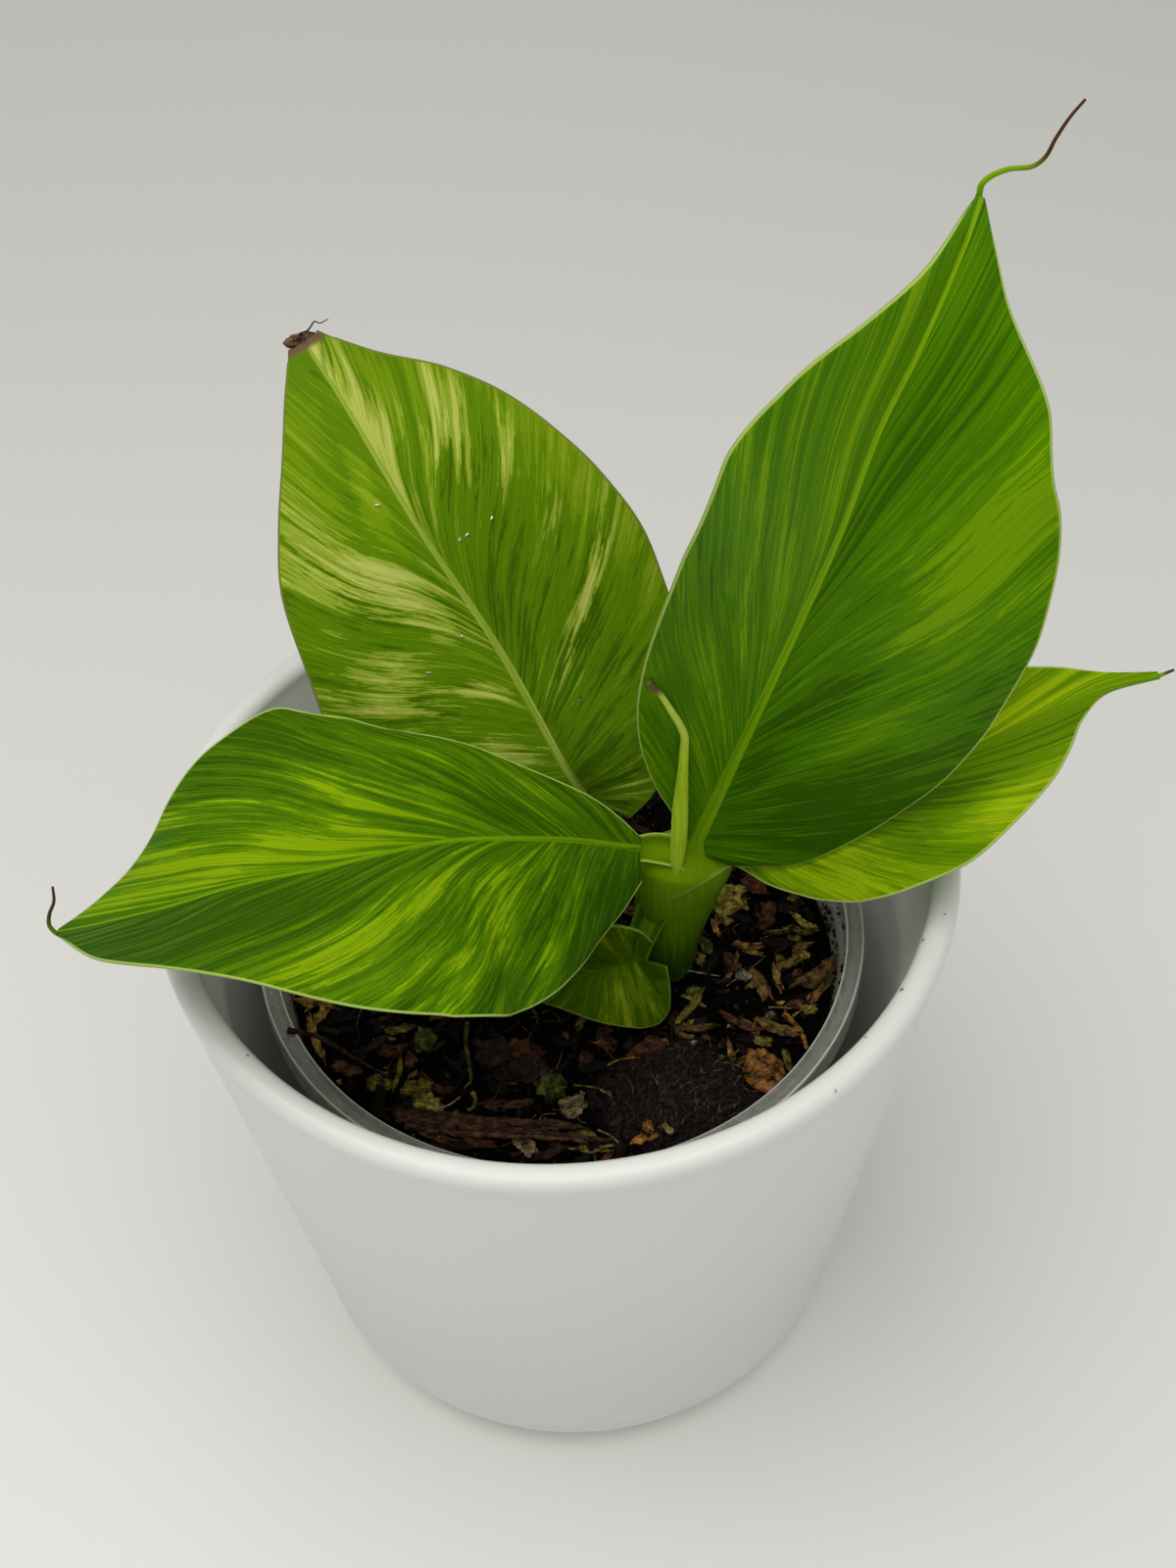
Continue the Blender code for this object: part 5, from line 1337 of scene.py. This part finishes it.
def flake_part(middle, yaw, tilt, size, rng, tint, rows=11, columns=6):
    """A broken flake of bark: uneven outline, slight curl, split ends and fibrous faces."""
    length, width, thick = size
    u = np.linspace(-1, 1, rows)[:, None]
    v = np.linspace(-1, 1, columns)[None]
    blunt = rng.uniform(3.0, 14.0, 2)
    narrow = rng.uniform(0.1, 0.75, 2)
    taper = np.where(u < 0, 1 - np.abs(u) ** blunt[0] * narrow[0], 1 - np.abs(u) ** blunt[1] * narrow[1])
    rag = 1 + 0.13 * rng.standard_normal((rows, 1))
    drift = rng.uniform(-0.3, 0.3) * width * u ** 2 + rng.uniform(-0.3, 0.3) * width * u
    ends = 0.12 * length * rng.standard_normal((1, columns)) * np.abs(u) ** 3
    x = u * length / 2 + ends + 0 * v
    y = v * width / 2 * taper * rag + drift
    bend = rng.uniform(-0.12, 0.2)
    curl = rng.uniform(-0.1, 0.35)
    z = bend * length * u ** 2 + curl * width * v ** 2
    ridge = 0.22 * thick * rng.standard_normal((1, columns))
    ridge = ridge + 0.08 * thick * rng.standard_normal((rows, columns))
    half = thick / 2 * (1 - 0.75 * np.abs(v) ** 6) * (1 - 0.5 * np.abs(u) ** 8)
    top = np.stack([x, y, z + half + ridge], -1).reshape(-1, 3)
    low = np.stack([x, y, z - half], -1).reshape(-1, 3)
    count = rows * columns
    loop = grid_outline(rows, columns)[0]
    after = np.roll(loop, -1)
    faces = grid_faces(rows, columns, flip=True)
    faces += (np.array(grid_faces(rows, columns)) + count).tolist()
    faces += np.stack([loop, after, after + count, loop + count], 1).tolist()
    local = np.vstack([top, low])
    made = part(turned(local, yaw, tilt, rng.uniform(-0.3, 0.3), middle), faces, 1)
    made["data"] = piece_data(local + rng.uniform(0, 60, 3), np.array(tint) * rng.uniform(0.8, 1.2))
    return made


def lump_part(middle, halves, yaw, rng, tint, rough, shine=0.0, rings=14, sides=20):
    """A rounded, uneven lump."""
    seed = int(rng.integers(1000))
    around = circle(sides)
    down = np.linspace(0, math.pi, rings + 2)[1:-1][:, None]
    x, y = np.sin(down) * np.cos(around), np.sin(down) * np.sin(around)
    ball = np.stack([x, y, np.cos(down) + 0 * around], -1)
    ball = np.vstack([ball.reshape(-1, 3), (0, 0, 1), (0, 0, -1)])
    size = 1 + rough * (point_noise(ball, 0.55, seed) + 0.5 * point_noise(ball, 0.22, seed + 1))
    local = ball * size[:, None] * np.array(halves)
    spots = turned(local, math.radians(yaw), 0.0, 0.0, middle)
    made = skin(spots[:-2].reshape(rings, sides, 3), spots[-2:], 1)
    made["data"] = piece_data(local + rng.uniform(0, 60, 3), tint, shine)
    return made


def strand_part(route, radius, rng, tint, sides=8, count=24):
    """A thin root, fibre or twig along a route, a little uneven."""
    points, _ = smooth_curve(route, count)
    radii = radius * (1 + 0.15 * rng.standard_normal(count)) * np.linspace(1.0, 0.6, count)
    made = tube_part(points, radii, (0.1, 0.2, 1.0), sides=sides, index=1)
    made["data"] = piece_data(made["points"], tint)
    return made


def wall_spot(rng, size):
    """A random place on the nursery pot's inner wall, mostly just above the bed on the right."""
    angle = rng.normal(0.0, 0.35)
    z = MIX_TOP + 9.0 * rng.random() ** 2
    radius = nursery_outer_radius(z) - NURSERY_WALL - 0.1 * size
    radius += NURSERY_STEP if z > NURSERY_TOP - NURSERY_STEP_DROP else 0.0
    return radius * math.cos(angle), radius * math.sin(angle), z


def crumb_parts(rng):
    """Grains of the mix, as one mesh of small uneven eight-sided grains."""
    points, faces, tints = [], [], []
    for k in range(CRUMBS + WALL_CRUMBS):
        size = rng.uniform(*CRUMB_SIZE)
        if k < CRUMBS:
            x, y = free_spot(rng, 2.0)
            middle = (x, y, bed_height(x, y) + 0.25 * size)
        else:
            middle = wall_spot(rng, size)
        local = CRUMB_CORNERS * (1 + 0.35 * rng.standard_normal((6, 1))) * size
        points.append(turned(local, rng.uniform(0, 6), rng.uniform(0, 3), 0.0, middle))
        faces += [[6 * k + corner for corner in side] for side in CRUMB_SIDES]
        tints += [TINTS["pale"] if rng.random() < PALE_SHARE else any_tint(rng, CRUMB_TINTS)] * 6
    made = part(np.concatenate(points), faces, 1)
    made["data"] = piece_data(made["points"], np.array(tints))
    return [made]


def free_spot(rng, clear):
    """A random place on the bed, clear of the stem and the coir plug."""
    while True:
        angle = rng.uniform(0, math.tau)
        radius = math.sqrt(rng.random()) * (mix_radius(MIX_TOP) - clear)
        x, y = radius * math.cos(angle), radius * math.sin(angle)
        (cx, cy, _), (rx, ry, _) = COIR_PLUG
        on_plug = math.hypot((x - cx) / rx, (y - cy) / ry) < 0.85
        if math.hypot(x - STEM_RINGS[1][0], y) > STEM_RINGS[1][3] + clear and not on_plug:
            return x, y


def loose_flakes(rng):
    """Small chips over the whole bed, more often of lighter tints on its right side."""
    made = []
    for _ in range(LOOSE_FLAKES):
        x, y = free_spot(rng, 2.6)
        light = 0.12 + 0.5 * min(1.0, max(0.0, (x - 18.0) / 16.0))
        names = LIGHT_TINTS if rng.random() < light else DARK_TINTS
        size = [rng.uniform(*limits) for limits in FLAKE_SIZE]
        place = (x, y, bed_height(x, y) + rng.uniform(0.1, 0.8))
        tint = any_tint(rng, names)
        made.append(flake_part(place, rng.uniform(0, 6.3), rng.uniform(-0.4, 0.4), size, rng, tint, 7, 4))
    return made


def shown_pieces(rng):
    """The flakes, lumps and strands that can be told apart in the photograph."""
    made = []
    for first, second, width, tint, lift in FLAKES:
        ends = [photo_spot(*spot, MIX_TOP + lift) for spot in (first, second)]
        middle, span = (ends[0] + ends[1]) / 2, ends[1] - ends[0]
        place = (middle.x, middle.y, bed_height(middle.x, middle.y) + lift)
        size = (span.length * 1.08, width, 0.3 * width + 0.25)
        yaw, tilt = math.atan2(span.y, span.x), rng.uniform(-0.12, 0.12)
        made.append(flake_part(place, yaw, tilt, size, rng, TINTS[tint]))
    for spot, wide, deep, high, tint in LUMPS:
        middle = photo_spot(*spot, MIX_TOP + high / 2)
        place = (middle.x, middle.y, bed_height(middle.x, middle.y) + 0.3 * high)
        made.append(lump_part(place, (wide, deep, high), rng.uniform(-30, 30), rng, TINTS[tint], 0.65))
    for route, radius, tint, lift in STRANDS:
        spots = [tuple(photo_spot(*spot, MIX_TOP + lift)) for spot in route]
        made.append(strand_part(spots, radius, rng, TINTS[tint]))
    made.append(strand_part(TWIG, 0.5, rng, TINTS["plum"]))
    made.append(lump_part(*NUT_CHIP, rng, NUT_COLOUR, 0.4, 1.0, 24, 36))
    return made


def bark_strip(rng):
    """The long fibrous strip of bark along the front, as ragged strands that lie together."""
    points, _ = smooth_curve(BARK_STRIP, 40)
    made = []
    for k in range(BARK_STRANDS):
        aside = (k - BARK_STRANDS // 2) * 0.42
        first = int(rng.integers(0, 7))
        last = int(40 - rng.integers(0, 12))
        route = points[first:last:3] + np.array((0.12 * aside, aside, 0.9 - 0.06 * aside ** 2))
        route = route + 0.14 * rng.standard_normal(route.shape)
        tint = np.array(BARK_COLOUR) * rng.uniform(0.6, 1.5)
        made.append(strand_part(route, rng.uniform(0.4, 0.62), rng, tint, count=50))
    return made


def fibre_parts(rng):
    """Thin fibres over the mix, and short ones that lie mostly one way on the coir plug."""
    (cx, cy, _), (rx, ry, _) = COIR_PLUG
    limit = mix_radius(MIX_TOP) - 0.6
    made = []
    for coir, (amount, spans, radii, stray, names) in enumerate((LOOSE_FIBRES, COIR_FIBRES)):
        for _ in range(amount):
            if coir:
                angle, reach = rng.uniform(0, math.tau), math.sqrt(rng.random()) * 0.92
                x, y = cx + rx * reach * math.cos(angle), cy + ry * reach * math.sin(angle)
            else:
                x, y = free_spot(rng, 5.0)
            span, radius = rng.uniform(*spans), rng.uniform(*radii)
            way = 1.2 + 0.06 * (cx - x) + rng.normal(0, 0.4) if coir else rng.uniform(0, math.tau)
            tint = any_tint(rng, names)
            route = []
            for t in np.linspace(-0.5, 0.5, 4):
                px = x + span * t * math.cos(way) + rng.normal(0, stray * span)
                py = y + span * t * math.sin(way) + rng.normal(0, stray * span)
                reach = math.hypot(px, py)
                if reach > limit:
                    px, py = px * limit / reach, py * limit / reach
                route.append((px, py, bed_height(px, py) + rng.uniform(0.1, 0.9)))
            made.append(strand_part(route, radius, rng, tint, 4, 9))
    return made


def chip_material(name):
    """Woody tissue: each piece has its own tint, with fibres along it and darker pits."""
    g = Graph(name, Specular_IOR_Level=0.16)
    grain = g.attribute("grain", "Vector")
    tint = g.attribute("tint", "Color")
    fibre = g.noise(g.scaled(grain, (0.45, 2.6, 2.6)), detail=3.0, roughness=0.6)
    blotch = g.noise(grain, 0.6, 4.0, 0.65)
    darker, lighter = [g.mix(1.0, tint, by, "MULTIPLY") for by in (CHIP_SHADE, CHIP_GLOW)]
    colour = g.paint(darker, fibre, 0.4, 0.6, tint)
    colour = g.paint(colour, blotch, 0.5, 0.66, lighter)
    colour = g.paint(colour, blotch, 0.46, 0.36, PIT_COLOUR)
    g.bump(g.math("MULTIPLY_ADD", blotch, 0.6, fibre), 0.35, 0.8)
    return g.finish(Base_Color=colour, Roughness=g.ranged(g.attribute("shine"), 0.85, 0.28))


def bed_material():
    """Nearly black mix, a little lighter on the coir plug."""
    g = Graph("dark_mix", Roughness=0.95, Specular_IOR_Level=0.05)
    grain = g.noise(g.place(), 1.2, 4.0, 0.65)
    mix = g.paint(MIX_COLOURS[0], grain, 0.45, 0.8, MIX_COLOURS[1])
    coir = g.paint(COIR_COLOURS[0], grain, 0.35, 0.7, COIR_COLOURS[1])
    g.bump(grain, 1.2, 0.9)
    return g.finish(Base_Color=g.mix(g.attribute("coir"), mix, coir))


def make_mix():
    """The dark bed, and the chips, lumps, strands, grains and fibres that lie on it."""
    rng = np.random.default_rng(11)
    floor = FLOOR_THICKNESS + GAP + NURSERY_WALL + GAP
    radius = mix_radius(MIX_TOP)
    profile = [(radius * k / BED_RINGS, MIX_TOP) for k in range(BED_RINGS + 1)]
    profile += [(mix_radius(z), z) for z in np.linspace(MIX_TOP, floor, 24)[1:]] + [(0.0, floor)]
    bed = revolved(profile, BED_SEGMENTS)
    points = bed["points"]
    top = points[:, 2] > MIX_TOP - 0.01
    rough = point_noise(points[top], 3.2, 3) + 0.55 * point_noise(points[top], 1.1, 4)
    inner = np.clip((radius - np.hypot(*points[top, :2].T)) / 3.0, 0, 1)
    points[top, 2] = [bed_height(x, y) for x, y in points[top, :2]]
    points[top, 2] += rough * (0.3 + 0.7 * inner)
    (cx, cy, _), (rx, ry, _) = COIR_PLUG
    away = np.hypot((points[:, 0] - cx) / rx, (points[:, 1] - cy) / ry)
    bed["data"] = {"coir": np.clip(1.2 - away, 0, 0.2) * 5}
    parts = [bed]
    for make in (shown_pieces, bark_strip, loose_flakes, crumb_parts, fibre_parts):
        parts += make(rng)
    materials = [bed_material(), chip_material("woody_bits")]
    add_piece("mix_bed", parts, materials, ["potting_mix"])


def make_stage():
    """A pale sheet under the pot, which rises in a sweep far behind it; painted shade darkens it towards
    the back.
    """
    bend = np.linspace(0.1, math.pi / 2, 16)
    sweep = [STAGE_BACK + STAGE_BEND * np.sin(bend), STAGE_BEND - STAGE_BEND * np.cos(bend)]
    ends = [(STAGE_FRONT, 0.0), (STAGE_BACK, 0.0), (STAGE_BACK + STAGE_BEND, STAGE_TOP)]
    rows = np.vstack([ends[:2], np.stack(sweep, 1), ends[2:]])
    points = np.concatenate([np.insert(rows, 0, x, axis=1) for x in (-STAGE_SIDE, STAGE_SIDE)]) * MM
    count = len(rows)
    faces = [[k, count + k, count + k + 1, k + 1] for k in range(count - 1)]
    mesh = bpy.data.meshes.new("backdrop")
    mesh.from_pydata(points.tolist(), [], faces)
    mesh.shade_smooth()
    g = Graph("pale_paper", Roughness=0.75)
    depth = g.node("SeparateXYZ", {0: g.place()}, 1)
    # Painted shade: the paper darkens from front to back
    colour = g.paint(PAPER_NEAR, depth, -260.0, 420.0, PAPER_FAR_SHADED)
    mesh.materials.append(g.finish(Base_Color=colour))
    obj = bpy.data.objects.new("backdrop", mesh)
    bpy.context.scene.collection.objects.link(obj)


def make_lights():
    """One large soft light above and a little to the left, and an even pale surrounding."""
    light = bpy.data.lights.new("window", "AREA")
    light.shape = "RECTANGLE"
    light.size, light.size_y = LIGHT_SIZE
    light.energy = LIGHT_POWER
    light.color = LIGHT_COLOUR
    obj = bpy.data.objects.new("window", light)
    obj.location = Vector(LIGHT_PLACE) * MM
    direction = Vector(LIGHT_TARGET) * MM - obj.location
    obj.rotation_euler = direction.to_track_quat("-Z", "Y").to_euler()
    bpy.context.scene.collection.objects.link(obj)
    world = bpy.data.worlds.new("soft_room")
    world.use_nodes = True
    background = world.node_tree.nodes["Background"]
    background.inputs["Color"].default_value = ROOM_COLOUR
    background.inputs["Strength"].default_value = ROOM_STRENGTH
    bpy.context.scene.world = world
    bpy.context.scene.view_settings.view_transform = "Standard"


def make_camera():
    """The photograph's camera, with depth of field off and no shift."""
    right, up, back, place = camera_axes()
    camera = bpy.data.cameras.new("camera")
    camera.sensor_fit = "VERTICAL"
    camera.sensor_height = CAMERA_SENSOR
    camera.lens = CAMERA_LENS
    camera.clip_start = 0.01
    obj = bpy.data.objects.new("camera", camera)
    obj.matrix_world = Matrix((right, up, back)).transposed().to_4x4()
    obj.location = place * MM
    bpy.context.scene.collection.objects.link(obj)
    bpy.context.scene.camera = obj


make_camera()
make_stage()
make_lights()
make_planter()
make_nursery_pot()
make_mix()
make_stem()
make_furled_leaf()
for seed, leaf_name in enumerate(LEAVES):
    make_leaf(leaf_name, seed)
make_dry_tip()
